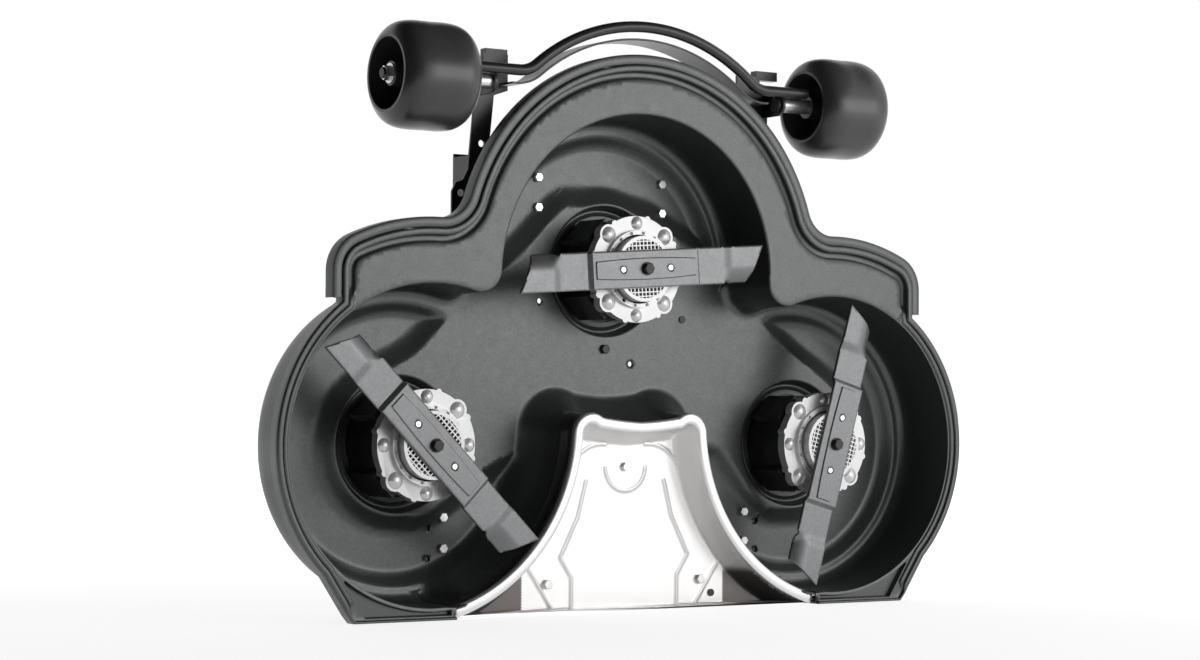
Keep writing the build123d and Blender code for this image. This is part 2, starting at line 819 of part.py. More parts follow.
def blade(hub):
    """Blade: raised centre panel, joggled arms and swept, lifted wings."""
    half = blade_width / 2
    tip = blade_length / 2
    outer_y = blade_y + joggle
    with BuildPart() as knife:
        # each station gives how far along it is and the level of the sheet's two edges
        raised = outer_y + wing_lift
        half_stations = (
            (joggle_start, blade_y, blade_y),
            (joggle_end, outer_y, outer_y),
            (wing_start, outer_y, outer_y),
            (wing_end, raised, outer_y),
            (tip, raised, outer_y),
        )
        stations = [(-along, high, low) for along, low, high in reversed(half_stations)]
        stations += half_stations
        for first, second in zip(stations, stations[1:]):
            for along, low_edge, high_edge in (first, second):
                with BuildSketch(across_blade(hub, along)):
                    blade_strip(low_edge, high_edge)
            loft(ruled=True)
        with BuildSketch(at_hub(hub, blade_y)):
            end_x, end_y = panel_length / 2, panel_end_width / 2
            with BuildLine():
                ThreePointArc((-end_x, end_y), (0, panel_width / 2), (end_x, end_y))
                Line((end_x, end_y), (end_x, -end_y))
                ThreePointArc((end_x, -end_y), (0, -panel_width / 2), (-end_x, -end_y))
                Line((-end_x, -end_y), (-end_x, end_y))
            make_face()
        extrude(amount=panel_rise)
        with BuildSketch(at_hub(hub, blade_reach_y)):
            swept = tip - tip_sweep
            Polygon((tip, half), (swept, -half), (-tip, -half), (-swept, half), align=None)
        extrude(amount=2 * blade_reach_y, mode=Mode.INTERSECT)
        with BuildSketch(at_hub(hub, blade_y + blade_sheet)):
            with Locations((-pin_offset, 0), (pin_offset, 0)):
                Circle(pin_hole_r)
            Circle(bolt_r + fit)
        extrude(amount=blade_sheet + panel_rise, mode=Mode.SUBTRACT)
    save(knife, f"{hub}_blade")


def blade_drive(hub):
    """Shaft, the two drive pins and the bolt that holds the blade on the shaft."""
    face_y = blade_y + blade_sheet
    with BuildPart() as shaft:
        with BuildSketch(at_hub(hub, shaft_end_y)):
            Circle(shaft_r)
        extrude(amount=shaft_end_y - face_y)
        with BuildSketch(at_hub(hub, face_y + bolt_depth)):
            Circle(bolt_r + fit)
        extrude(amount=bolt_depth, mode=Mode.SUBTRACT)
    save(shaft, f"{hub}_motor_shaft")
    with BuildPart() as pins:
        with BuildSketch(at_hub(hub, face_y + carrier_sheet)):
            with Locations((-pin_offset, 0), (pin_offset, 0)):
                Circle(pin_r)
        extrude(amount=carrier_sheet + blade_sheet + pin_proud + panel_rise)
    save(pins, f"{hub}_drive_pins")
    with BuildPart() as bolt:
        seat_y = blade_y - panel_rise
        with BuildSketch(at_hub(hub, seat_y)):
            Circle(bolt_flange_r)
        extrude(amount=bolt_flange)
        with BuildSketch(at_hub(hub, seat_y - bolt_flange)):
            RegularPolygon(bolt_head_af / 2, 6, major_radius=False)
        extrude(amount=bolt_head)
        chamfer(bolt.faces().sort_by(Axis.Y)[0].edges(), head_bevel)
        with BuildSketch(at_hub(hub, face_y + bolt_depth - bolt_end_gap)):
            Circle(bolt_r)
        extrude(amount=face_y + bolt_depth - bolt_end_gap - seat_y)
    save(bolt, f"{hub}_blade_bolt")


for hub in hubs:
    motor_housing(hub)
    motor_cap(hub)
    motor_fixings(hub)
    end_shield(hub)
    shield_screws(hub)
    blade_carrier(hub)
    blade(hub)
    blade_drive(hub)


def rail_line(shift):
    """Front guard's line, moved in by shift: an arch that bends out level at each end.
    Gives the arch's top, where it meets the bend, the bend's middle and its level end."""
    arch = rail_arch_r - shift
    bend = rail_bend + shift
    level = rail_end_z - shift
    rise = level + bend - rail_arch_z
    bend_x = sqrt((arch + bend) ** 2 - rise**2)
    meet = (bend_x * arch / (arch + bend), rail_arch_z + rise * arch / (arch + bend))
    chord = (bend_x - (meet[0] + bend_x) / 2, level + bend - (meet[1] + level) / 2)
    share = bend / hypot(*chord)
    middle = (bend_x - chord[0] * share, level + bend - chord[1] * share)
    return (0, rail_arch_z + arch), meet, middle, (bend_x, level)


def mirrored(point):
    """The same point on the left side."""
    return -point[0], point[1]


# Tubular guard across the front, its ends level beside the wheels
top, meet, middle, level = rail_line(0)
with BuildPart() as guard_rail:
    with BuildLine(at_depth(rail_y)) as rail_path:
        Line((-rail_end_x, level[1]), mirrored(level))
        ThreePointArc(mirrored(level), mirrored(middle), mirrored(meet))
        ThreePointArc(mirrored(meet), top, meet)
        ThreePointArc(meet, middle, level)
        Line(level, (rail_end_x, level[1]))
    with BuildSketch(Plane(origin=(-rail_end_x, rail_y, level[1]), z_dir=(1, 0, 0))):
        Circle(rail_r)
    sweep(path=rail_path.line)
save(guard_rail, "guard_rail")

# Flat strap behind the rail, its ends against the arms
top, meet, middle, level = rail_line(rail_r + strap_shift - strap_sheet / 2)
low_top, low_meet, low_middle, low_level = rail_line(rail_r + strap_shift + strap_sheet / 2)
with BuildPart() as guard_strap:
    with BuildSketch(at_depth(arm_y)):
        with BuildLine():
            Line((-strap_end_x, level[1]), mirrored(level))
            ThreePointArc(mirrored(level), mirrored(middle), mirrored(meet))
            ThreePointArc(mirrored(meet), top, meet)
            ThreePointArc(meet, middle, level)
            Polyline(level, (strap_end_x, level[1]), (strap_end_x, low_level[1]), low_level)
            ThreePointArc(low_level, low_middle, low_meet)
            ThreePointArc(low_meet, low_top, mirrored(low_meet))
            ThreePointArc(mirrored(low_meet), mirrored(low_middle), mirrored(low_level))
            Polyline(mirrored(low_level), (-strap_end_x, low_level[1]), (-strap_end_x, level[1]))
        make_face()
    extrude(amount=arm_y - strap_y)
save(guard_strap, "guard_strap")


def front_arm(side, name):
    """Folded arm: a foot on the shell, a web round its wall and a plate to the axle."""
    foot_z = middle_hub_z + (foot_low + foot_high) / 2
    web_z = middle_hub_z + (web_low + web_high) / 2
    hook_start, hook_end, hook_low, hook_high = hooks[name]
    with BuildPart() as arm:
        with BuildSketch(at_depth(stack_y)):
            with Locations((side * (foot_inner_x + web_x) / 2, foot_z)):
                Rectangle(web_x - foot_inner_x, foot_high - foot_low)
        extrude(amount=arm_sheet)
        with BuildSketch(at_depth(roof_y)):
            with Locations((side * (web_x - arm_sheet / 2), web_z)):
                Rectangle(arm_sheet, web_high - web_low)
        extrude(amount=roof_y - arm_y - arm_sheet)
        with BuildSketch(at_depth(arm_y + arm_sheet)):
            Polygon(*[(side * x, middle_hub_z + z) for x, z in arm_outline], align=None)
            with Locations(*[(side * x, middle_hub_z + z) for x, z in arm_holes]):
                Circle(arm_hole_r, mode=Mode.SUBTRACT)
        extrude(amount=arm_sheet)
        with BuildSketch(at_depth(hook_depth)):
            with Locations(((hook_start + hook_end) / 2, middle_hub_z + (hook_low + hook_high) / 2)):
                Rectangle(hook_end - hook_start, hook_high - hook_low)
        extrude(amount=hook_depth - arm_y)
        with BuildSketch(Plane(origin=(side * axle_lug_x, axle_y, axle_z), z_dir=(side, 0, 0))):
            Circle(axle_lug_r)
        extrude(amount=arm_sheet)
        with BuildSketch(at_depth(arm_y)):
            with Locations((side * (axle_lug_x + arm_sheet / 2), axle_z)):
                Rectangle(arm_sheet, 2 * axle_lug_r)
        extrude(amount=arm_y - axle_y)
        with BuildSketch(Plane(origin=(side * axle_lug_x, axle_y, axle_z), z_dir=(side, 0, 0))):
            Circle(axle_r + fit)
        extrude(amount=arm_sheet, mode=Mode.SUBTRACT)
        with BuildSketch(at_depth(stack_y)):
            with Locations(*[(side * front_bolt_x, z) for z in front_bolt_z]):
                Circle(m8_hole_r)
        extrude(amount=arm_sheet, mode=Mode.SUBTRACT)
    save(arm, f"{name}_arm")


def rear_hanger(side, name):
    """Angle bolted to the roof, with the hole that the deck is lifted and held by."""
    with BuildPart() as hanger:
        middle_z = sum(side_bolt_z) / 2
        with BuildSketch(at_depth(stack_y)):
            with Locations((side * side_bolt_x, middle_z)):
                RectangleRounded(hanger_width, hanger_length, hanger_corner)
        extrude(amount=hanger_sheet)
        edge_x = side * (side_bolt_x + hanger_width / 2)
        upright = Plane(origin=(edge_x, stack_y, middle_z), x_dir=(0, 0, 1), z_dir=(-side, 0, 0))
        with BuildSketch(upright):
            with Locations((0, side * (hanger_height / 2 - hanger_sheet / 2))):
                Rectangle(hanger_length - 2 * hanger_corner, hanger_height + hanger_sheet)
            with Locations((0, side * (hanger_height - 2 * hanger_hole_r))):
                Circle(hanger_hole_r, mode=Mode.SUBTRACT)
        extrude(amount=hanger_sheet)
        with BuildSketch(at_depth(stack_y)):
            with Locations(*[(side * side_bolt_x, z) for z in side_bolt_z]):
                Circle(m8_hole_r)
        extrude(amount=hanger_sheet, mode=Mode.SUBTRACT)
    save(hanger, f"{name}_rear_hanger")


def across_axle(side):
    """Drawing plane through the axle's line, x outwards along it and y up."""
    return Plane(origin=(0, axle_y, axle_z), x_dir=(side, 0, 0), z_dir=(0, -side, 0))


def front_wheel(side, name):
    """Barrel-shaped wheel, open at both ends, with a web and boss on its axle."""
    middle_x = wheel_x + wheel_width / 2
    reach = wheel_width / 2
    crown = wheel_r - wheel_end_r
    barrel = [(t, wheel_end_r + crown * (1 - abs(t) ** wheel_crown)) for t in wheel_stations]
    with BuildPart() as wheel:
        with BuildSketch(across_axle(side)):
            with BuildLine():
                Spline(*[(middle_x + t * reach, r) for t, r in barrel])
                Polyline(
                    (middle_x + reach, wheel_end_r),
                    (middle_x + reach, wheel_mouth_r),
                    (middle_x + wheel_web, wheel_deep_r),
                    (middle_x + wheel_web / 2, wheel_boss_r),
                    (middle_x + reach - wheel_boss_inset, wheel_boss_r),
                    (middle_x + reach - wheel_boss_inset, axle_r + axle_fit),
                    (middle_x - reach + wheel_boss_inset, axle_r + axle_fit),
                    (middle_x - reach + wheel_boss_inset, wheel_boss_r),
                    (middle_x - wheel_web / 2, wheel_boss_r),
                    (middle_x - wheel_web, wheel_deep_r),
                    (middle_x - reach, wheel_mouth_r),
                    (middle_x - reach, wheel_end_r),
                )
            make_face()
        revolve(axis=Axis((0, axle_y, axle_z), (1, 0, 0)))
    save(wheel, f"{name}_wheel")


def axle_set(side, name):
    """Headed axle with its spacer, washer and nut."""
    boss_start = wheel_x + wheel_boss_inset
    boss_end = wheel_x + wheel_width - wheel_boss_inset
    lug_face = axle_lug_x + arm_sheet
    axle_end = boss_end + washer + axle_nut + 2 * axle_bevel
    with BuildPart() as axle:
        with BuildSketch(across_axle(side)):
            with BuildLine():
                Polyline(
                    (axle_lug_x - axle_head, 0),
                    (axle_lug_x - axle_head, axle_head_r - axle_bevel),
                    (axle_lug_x - axle_head + axle_bevel, axle_head_r),
                    (axle_lug_x, axle_head_r),
                    (axle_lug_x, axle_r),
                    (axle_end - axle_bevel, axle_r),
                    (axle_end, axle_r - axle_bevel),
                    (axle_end, 0),
                    close=True,
                )
            make_face()
        revolve(axis=Axis((0, axle_y, axle_z), (1, 0, 0)))
    save(axle, f"{name}_axle")
    with BuildPart() as spacer:
        with BuildSketch(Plane(origin=(side * lug_face, axle_y, axle_z), z_dir=(side, 0, 0))):
            Circle(axle_r + spacer_wall)
            Circle(axle_r + fit, mode=Mode.SUBTRACT)
        extrude(amount=boss_start - lug_face - end_float)
    save(spacer, f"{name}_axle_spacer")
    with BuildPart() as ring:
        seat_x = side * (boss_end + end_float)
        with BuildSketch(Plane(origin=(seat_x, axle_y, axle_z), z_dir=(side, 0, 0))):
            Circle(washer_r)
            Circle(axle_r + fit, mode=Mode.SUBTRACT)
        extrude(amount=washer - end_float)
    save(ring, f"{name}_axle_washer")
    with BuildPart() as nut:
        seat_x = side * (boss_end + washer)
        with BuildSketch(Plane(origin=(seat_x, axle_y, axle_z), z_dir=(side, 0, 0))):
            RegularPolygon(axle_nut_af / 2, 6, major_radius=False)
            Circle(axle_r + fit, mode=Mode.SUBTRACT)
        extrude(amount=axle_nut)
    save(nut, f"{name}_axle_nut")


for side, name in ((-1, "left"), (1, "right")):
    front_arm(side, name)
    rear_hanger(side, name)
    front_wheel(side, name)
    axle_set(side, name)
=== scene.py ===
import json

import bmesh
import bpy
import numpy as np
from mathutils import Matrix, Vector
from mathutils.geometry import delaunay_2d_cdt


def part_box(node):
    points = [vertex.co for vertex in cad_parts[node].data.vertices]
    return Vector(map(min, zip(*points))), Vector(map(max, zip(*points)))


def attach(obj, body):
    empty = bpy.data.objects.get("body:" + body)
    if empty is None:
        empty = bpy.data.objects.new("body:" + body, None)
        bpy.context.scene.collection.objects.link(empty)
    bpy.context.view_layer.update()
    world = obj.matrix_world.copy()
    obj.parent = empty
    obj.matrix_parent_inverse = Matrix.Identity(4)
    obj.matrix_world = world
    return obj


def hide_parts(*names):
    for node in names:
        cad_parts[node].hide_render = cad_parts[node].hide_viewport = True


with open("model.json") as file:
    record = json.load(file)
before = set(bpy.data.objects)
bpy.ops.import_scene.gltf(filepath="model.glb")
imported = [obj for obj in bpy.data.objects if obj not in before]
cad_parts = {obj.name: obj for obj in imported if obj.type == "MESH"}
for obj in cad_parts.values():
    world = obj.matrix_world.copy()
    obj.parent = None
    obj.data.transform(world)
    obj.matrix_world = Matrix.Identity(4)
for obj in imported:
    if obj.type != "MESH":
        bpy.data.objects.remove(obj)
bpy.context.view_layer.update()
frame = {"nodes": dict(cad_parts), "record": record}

bl_info = {
    "name": "Lawn mower deck",
    "version": (1, 0, 0),
    "blender": (4, 5, 0),
    "location": "View3D > Sidebar > Mower deck",
    "description": "Surfaces and finishes of a three-spindle cutting deck",
    "category": "Object",
}

# The deck is drawn in millimetres from the plane of its lip: X across, Y from the open
# underside into the shell, Z from the rear edge to the front. The frame's Y starts
# midway through the part's depth, so the lip's place is read from the band on it.
BAND_START_Y = 2.0
LIP_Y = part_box("front_band")[0].y * 1000.0 - BAND_START_Y

# Spindles: place across, place up, and the turn of the blade in degrees
HUBS = {
    "left": (-350.0, 241.5, -45.2),
    "middle": (0.0, 497.4, 4.0),
    "right": (350.0, 241.5, 74.0),
}
MIDDLE_HUB, RIGHT_HUB = np.array(HUBS["middle"][:2]), np.array(HUBS["right"][:2])

# Points nearer than this become one, in meshes and in lines; then the spacing along
# lines, and the least divisor of a mitre
JOIN_MM = 0.02
REPEAT_MM = 0.05
MM_STEP = 5.0
MITRE_LEAST = 0.35

# Meshed plates: row spacing and clearance as shares of the step, and the tolerance
ROW_SHARE = 0.866
CLEAR_SHARE = 0.45
LINE_TOLERANCE = 1e-4

# Degrees at which shading breaks and at which edges are rounded
SHARP_ANGLE = 35.0
BEVEL_ANGLE = 30.0

# Plan of the shell: lip, chamber wall, where the edges' profiles change, and gussets
FRONT_R = 296.5
SHOULDER_R = 301.5
SHOULDER_X = 498.0
SHOULDER_ROUND = 40.0
SIDE_RIM_R = 245.0
NECK_R = 62.0
CORNER_TOP = np.array((535.55, 87.5))
CORNER_FOOT = np.array((484.8, 10.5))
CORNER_FALL = (CORNER_FOOT - CORNER_TOP) / np.hypot(*(CORNER_FOOT - CORNER_TOP))
FOOT_X = 476.0
CHAMBER_R = 224.0
CHAMBER_NECK_R = 35.0
VOLUTE_X = -243.0
VOLUTE_MIDDLE = (-176.0, 646.0)
CHAMBER_SIDE_END = -94.0
CHAMBER_HUB_END = -1.8
CHAMBER_HUB_DROP = 7.0
CHAMBER_LEAST_RUN = 0.2
RIM_START_X = 300.0
RIM_START_Z = 458.0
RIM_BLEND = 20.0
LIP_REAR_Z = 20.0
LIP_REAR_BLEND = 8.0
LIP_END_GAP = 2.0
GUSSET_SIDE = 20.5
GUSSET_REAR = 6.0
GUSSET_WALL = 5.0
GUSSET_FOOT_X = 322.0
GUSSET_EDGE = 2.0
GUSSET_DEPTH = 8.0
APRON_TAPER = 96.0

# Levels of the shell, and the profiles of its edges as (distance inwards, level)
SHEET = 3.0
LEDGE_Y = 5.0
SKIRT_Y = 22.0
PLATE_Y = 112.0
POCKET_Y = 129.0
ROOF_Y = 132.0
LIP_FRONT = (
    (0, 22), (0, 2.5), (0.7, 0.7), (2.5, 0), (7.5, 0), (9.3, 0.7), (10, 2.5), (10, 8.5),
    (10.7, 10.3), (12.5, 11), (17.5, 11), (19.3, 10.3), (20, 8.5), (20.4, 6.2), (22.5, 5),
)
LIP_SIDE = (
    (0, 22), (0, 2.5), (0.7, 0.7), (2.5, 0), (7, 0), (8.6, 0.6), (9.3, 2), (9.6, 4.2),
    (10.0, 4.2), (10.4, 2.8), (11.6, 2), (14.5, 2), (16.4, 2.4), (17.4, 3.4), (18, 5),
)
LIP_REAR = (
    (0, 22), (0, 1.2), (0.4, 0.4), (1.2, 0), (2.4, 0), (3.2, 0.4), (3.6, 1.2), (3.6, 2.4),
    (3.7, 3.2), (3.8, 3.8), (3.9, 4.2), (4, 4.5), (4.1, 4.7), (4.2, 4.9), (4.4, 5),
)
WALL_FRONT = (
    (-3, 5), (-1.5, 5.4), (-0.4, 6.5), (0, 8.5), (0.4, 40), (0.8, 80),
    (1.5, 94), (3.4, 102.5), (7, 108.2), (11, 111), (15.5, 111.9), (20, 112),
)
WALL_SIDE = ((-1, 5), (-0.5, 5.3), (-0.1, 6.2), *WALL_FRONT[3:])
WALL_INSERT = (
    (-3.5, 20), (-3.5, 24), (-3.5, 29), (-3.5, 34), (-3.4, 39), (-3.3, 44),
    (-3.1, 49), (-2.7, 53), (-2.1, 56.5), (-1.4, 59), (-0.7, 60.7), (0, 62),
)
INSERT_SLOPE_Y = 62.0
INSERT_SLOPE_RUN = 38.0
FOOT_BLEND_X = 270.0
FOOT_BLEND = 44.0
TUNNEL_GAP = 4.0
TUNNEL_START_Y = 34.0
TUNNEL_STEP = 24.0

# Roof: pockets round the motors, the tongues of plate that cut them off, lines that its
# triangles follow, and the motors' dishes as (radius, share of the depth)
POCKET_OUTER_R = 182.0
POCKET_RISE = 22.0
RIDGE_R = 185.0
RIDGE_WIDTH = 4.0
RIDGE_HEIGHT = 1.3
RING_R = 100.0
SLOPE = 31.0
BROW_POWER = 0.7
TONGUE_BLEND = 44.0
TONGUES = {
    "left": ((0, 0), (5, 103.5), (88, 186.5), (250, 186.5), (250, 16), (151, -32), (45, -85)),
    "middle": (
        (0, 0), (-70, 87.6), (-240, -57.4), (-240, -197.4), (240, -197.4), (240, -27.4), (180, 32.6),
        (85, 72.6),
    ),
    "right": (
        (0, 0), (84, 68), (66, 88), (-39, 166), (-62, 186), (-250, 186), (-250, 20), (-135, -8),
        (-42, -80),
    ),
}
CREASE_R = (100.6, 103.0, 107.0, 114.0, 122.0, 130.0, 136.5, *np.arange(176.0, 203.0, 2.9))
CREASE_OUT = (0.0, 4.0, 9.0, 15.0, 22.0, 30.0)
DISH_PROFILE = (
    (99, 0), (97, 0.03), (95.6, 0.12), (94.8, 0.3), (94.3, 0.6), (93.6, 0.85), (92, 0.98), (90, 1),
    (87.5, 0.98), (86.4, 0.88), (85.2, 0.84), (84, 0.88), (83, 0.98), (80, 1), (76, 1), (76, 1),
)
DISH_SIDES = 144
PLATE_HOLES = (
    (-115.6, 450.5), (44.9, 360.2), (-291.0, 121.5), (291.0, 121.5), (-291.0, 77.0), (291.0, 77.0),
)
HOLE_R = 4.0
ROOF_STEP = 5.6
LEDGE_STEP = 7.5

# Band clipped on the front of the lip, as (distance inwards, level) round its section
BAND_SECTION = (
    (-0.3, 24), (-0.3, 4.6), (-0.9, 2.9), (-2.6, 2), (-12.6, 2), (-14.4, 2.9), (-15, 4.6), (-15, 24),
    (-12, 24), (-12, 5.4), (-11.4, 5), (-3.9, 5), (-3.3, 5.4), (-3.3, 24),
)
BAND_END_Z = 441.0

# Mulching insert: plan, rolled rim as (distance inwards, level), and the sloping tray
INSERT_FOOT = (314.0, 17.0)
INSERT_FLANK = (168.1, 116.9)
INSERT_SHOULDER = (86.0, 257.0)
INSERT_SHOULDER_R = 31.0
INSERT_SHOULDER_END = 128.0
INSERT_DIP_Z = 274.7
INSERT_DIP_SAG = 2.4
RIM_SECTION = (
    (2.0, 22), (0.6, 21.4), (0, 19.8), (0, 17), (0.5, 14.8), (1.8, 13), (3.8, 12.2), (6, 12), (11, 12),
    (13.4, 12.3), (15.2, 13.2), (16.4, 14.8), (16.8, 17),
)
TRAY_RUN = 17.0
TRAY_FLAT = 0.98
TRAY_STRAIGHT = 0.55
TRAY_Y = 57.0
TRAY_STEP = 2.4
TRAY_REAR_Z = 2.0
INSERT_SHEET = 2.0

# Lines pressed into the tray, and where shade is painted on it: painted shade on the lines and at the feet,
# a painted dark reflection on the rim's side
LOBE = (0.0, 208.4, 35.0)
QUARTER_ARC = ((35.0, 241.5), (87.0, 219.0), (96.25, 199.5))
SIDE_LINE = ((68.25, 189.0), (82.25, 136.5), (112.0, 78.75), (92.75, 49.0), (92.75, 5.25))
DIAGONAL = ((168.0, 66.5), (126.0, 5.25))
PRESSED_HEIGHT = 1.4
PRESSED_WIDTH = 2.6
PRESSED_FLAT = 1.4
# Painted shade on the pressed lines: its share, and the flat part of its fall
PRESSED_LINE_SHADE = 0.3
LINE_SHADE_FLAT = 1.6
# Painted dark reflection on the rim's outer side: its share, its width and the level it starts above
RIM_REFLECTION_SHARE = 0.45
RIM_REFLECTION_WIDTH = 1.2
RIM_REFLECTION_Y = 12.5
# Painted shade on the tray's sloping sides near the feet: outside a place across, below a level where it
# fades, and in from the rim
SHADED_FOOT_X = 176.8
SHADED_FOOT_Z = 62.0
SHADED_FOOT_FADE = 14.0
SHADED_FOOT_INSET = 18.0

# Stubs beside the insert's feet
STUB = {"inner": 315.0, "outer": 343.0, "radius": 4.2, "level": 17.0, "z": 7.8}
STUB_SIDES = 32
STUB_RINGS = 12

# Blades: outline and sheet, then joggle, wing, raised panel, pin holes and edge notch
BLADE = {"tip": 215.0, "half": 27.5, "sweep": 28.0, "face": 4.0, "sheet": 4.0, "step": 2.6, "margin": 1.0}
JOGGLE = {"start": 92.0, "end": 98.0, "depth": 6.0}
WING = {"start": 142.0, "end": 160.0, "curl": 13.0, "edge": 3.0}
PANEL = {"reach": 88.0, "half": 16.0, "end_half": 13.0, "height": 2.0, "slope": 1.4, "points": 60}
PIN_HOLE = {"place": 41.5, "radius": 5.0}
NOTCH = {"place": 147.0, "depth": 3.5, "width": 4.0}

# Wheels: the seam's distance from the deck's middle, half its width, and the roughness
SEAM_X = 264.0
SEAM_HALF = 1.2
WHEEL_ROUGHNESS = 0.3

# Colour ramps run over the middle of a noise's range
TONE_PLACES = (0.35, 0.65)

# Coats: dark and light colour, roughness, grain and its depth in millimetres, specular
# level, metallic share. The shell's and blades' colours are settings; bare metals have
# no specular level
SHELL_COAT = (0.36, 1.4, 0.03, 0.1, 0.55)
BLADE_COAT = (0.4, 1.6, 0.01, 0.2, 0.55)
COATS = {
    "black_powder_coat": ("#3a3a3b", "#424243", 0.34, 1.2, 0.03, 0.5, 0.2),
    "black_moulded_polyamide": ("#3c3c3e", "#464648", 0.3, 2.0, 0.02, 0.5, 0.25),
    "black_oxide_bolt": ("#343434", "#424242", 0.4, 1.0, 0.02, 0.4, 0.0),
    "zinc_flake_screw": ("#f4f4f4", "#fafafa", 0.24, 1.0, 0.01, 0.5, 0.3),
}
METALS = {
    "cast_aluminium_shield": ("#f6f6f7", "#fcfcfc", 0.36, 0.8, 0.02, 0.25),
    "zinc_plated_bolt": ("#e0e0e0", "#f0f0f0", 0.28, 1.0, 0.01, 0.7),
}

# Finish of each slot of the record, and of the nodes that differ from their slot
SLOT_FINISH = {
    "shell": "powder_coated_shell",
    "band": "powder_coated_shell",
    "insert": "stainless_tray",
    "frame": "black_powder_coat",
    "bright_fastener": "zinc_plated_bolt",
    "dark_fastener": "black_oxide_bolt",
    "wheel": "moulded_wheel_plastic",
    "blade": "grey_coated_blade_steel",
    "carrier": "cast_aluminium_shield",
    "shield": "cast_aluminium_shield",
    "housing": "black_moulded_polyamide",
}
NODE_FINISH = {
    "centre_nut": "zinc_plated_bolt",
    "left_axle": "black_oxide_bolt",
    "right_axle": "black_oxide_bolt",
    **{f"{hub}_shield_screws": "zinc_flake_screw" for hub in HUBS},
}

# Camera: place in metres, then turn about the upright, rise and roll in radians
CAMERA_PLACE = (-2.2229, -3.3264, 0.3003)
CAMERA_ANGLES = (0.5808650891, -0.0271895, 0.00668607)
SENSOR = 36.0

# Studio in metres: the floor's reach, its glow as (distance, strength) near and far, the
# strength of the surroundings, and the soft lamp
FLOOR_REACH = 40.0
FLOOR_GLOW = ((1.0, 0.82), (2.6, 1.0))
WORLD_FILL = 0.9
KEY_LAMP = {"place": (2.4, -4.0, 1.1), "aim": (0.0, 0.0, 0.4), "size": (2.6, 1.8), "power": 44.0}

# Black flags round the open underside: on the left, behind the camera and overhead
FLAGS = {
    "left_flag": ((-2.7, -4.1, 0.02), (-2.7, 1.3, 0.02), (-2.7, 1.3, 3.0), (-2.7, -4.1, 3.0)),
    "camera_flag": ((-2.7, -4.1, 0.02), (-0.6, -4.1, 0.02), (-0.6, -4.1, 3.0), (-2.7, -4.1, 3.0)),
    "top_flag": ((-2.7, -4.1, 2.1), (1.6, -4.1, 2.1), (1.6, 1.5, 2.1), (-2.7, 1.5, 2.1)),
}


def metres(points):
    """Points in the deck's millimetres, as an array in the frame's metres."""
    return (np.asarray(points, float) + np.array([0.0, LIP_Y, 0.0])) / 1000.0


def full_turn(sides):
    """Evenly spaced angles of a whole turn, in radians."""
    return np.linspace(0.0, 2.0 * np.pi, sides + 1)[:-1]


def arc(centre, radius, start, end, step=MM_STEP):
    """Points on a circle between two angles in degrees, about one step apart."""
    count = max(3, int(abs(np.radians(end - start)) * radius / step) + 1)
    turn = np.radians(np.linspace(start, end, count))
    return np.stack([centre[0] + radius * np.cos(turn), centre[1] + radius * np.sin(turn)], 1)


def arc_through(first, middle, last, step=MM_STEP):
    """Points on the circle through three points: its centre is as far from each."""
    first, middle, last = (np.array(p, float) for p in (first, middle, last))
    rows = 2.0 * np.array([middle - first, last - first])
    centre = np.linalg.solve(rows, np.array([middle @ middle - first @ first, last @ last - first @ first]))
    turns = [np.degrees(np.arctan2(*(p - centre)[::-1])) for p in (first, middle, last)]
    sweep = (turns[2] - turns[0]) % 360.0
    if (turns[1] - turns[0]) % 360.0 > sweep:
        sweep -= 360.0
    return arc(centre, np.hypot(*(first - centre)), turns[0], turns[0] + sweep, step)


def line(first, last, step=MM_STEP):
    """Points on a straight run, about one step apart."""
    count = max(2, int(np.hypot(last[0] - first[0], last[1] - first[1]) / step) + 1)
    return np.linspace(first, last, count)


def bearing(centre, point):
    """Angle in degrees of the direction from a centre to a point."""
    return np.degrees(np.arctan2(point[1] - centre[1], point[0] - centre[0]))


def circles_meet(first, first_r, second, second_r):
    """The meeting point of two circles that lies to the left of the line between them."""
    gap = np.hypot(*(second - first))
    along = (second - first) / gap
    reach = (first_r**2 - second_r**2 + gap**2) / (2.0 * gap)
    rise = np.sqrt(first_r**2 - reach**2)
    return first + along * reach + np.array([-along[1], along[0]]) * rise


def line_meets(start, along, centre, radius):
    """The far meeting point of a circle and a line with the unit vector along."""
    reach = (centre - start) @ along
    off = centre - start - reach * along
    return start + along * (reach + np.sqrt(radius**2 - off @ off))


def joined(*runs):
    """Runs end to end, with each shared point kept once."""
    points = np.concatenate(runs)
    steps = np.hypot(*np.diff(points, axis=0).T)
    return points[np.concatenate([[True], steps > REPEAT_MM])]


def with_left(right_half):
    """A line drawn from the middle to the right, led on from its mirror image."""
    return joined(right_half[::-1] * (-1.0, 1.0), right_half)


def side_vectors(points, closed):
    """Mitred vectors to the left of a line: the sum of the unit normals of the two
    neighbouring runs, over one plus their dot product."""
    if closed:
        runs = np.roll(points, -1, 0) - points
        before = np.roll(runs, 1, 0)
    else:
        runs = np.diff(points, axis=0)
        before = np.concatenate([runs[:1], runs])
        runs = np.concatenate([runs, runs[-1:]])
    unit = [np.stack([-r[:, 1], r[:, 0]], 1) / np.hypot(r[:, 0], r[:, 1])[:, None] for r in (before, runs)]
    dot = np.sum(unit[0] * unit[1], 1)
    return (unit[0] + unit[1]) / np.maximum(1.0 + dot, MITRE_LEAST)[:, None]


def swept(points, profile):
    """Grid of a profile carried along a line: each profile row holds a distance to the
    line's left and a level. The profile may differ from point to point."""
    vectors = side_vectors(points, closed=False)
    profile = np.broadcast_to(profile, (len(points),) + np.shape(profile)[-2:])
    plan = points[:, None, :] + vectors[:, None, :] * profile[:, :, :1]
    return np.stack([plan[..., 0], profile[..., 1], plan[..., 1]], -1)


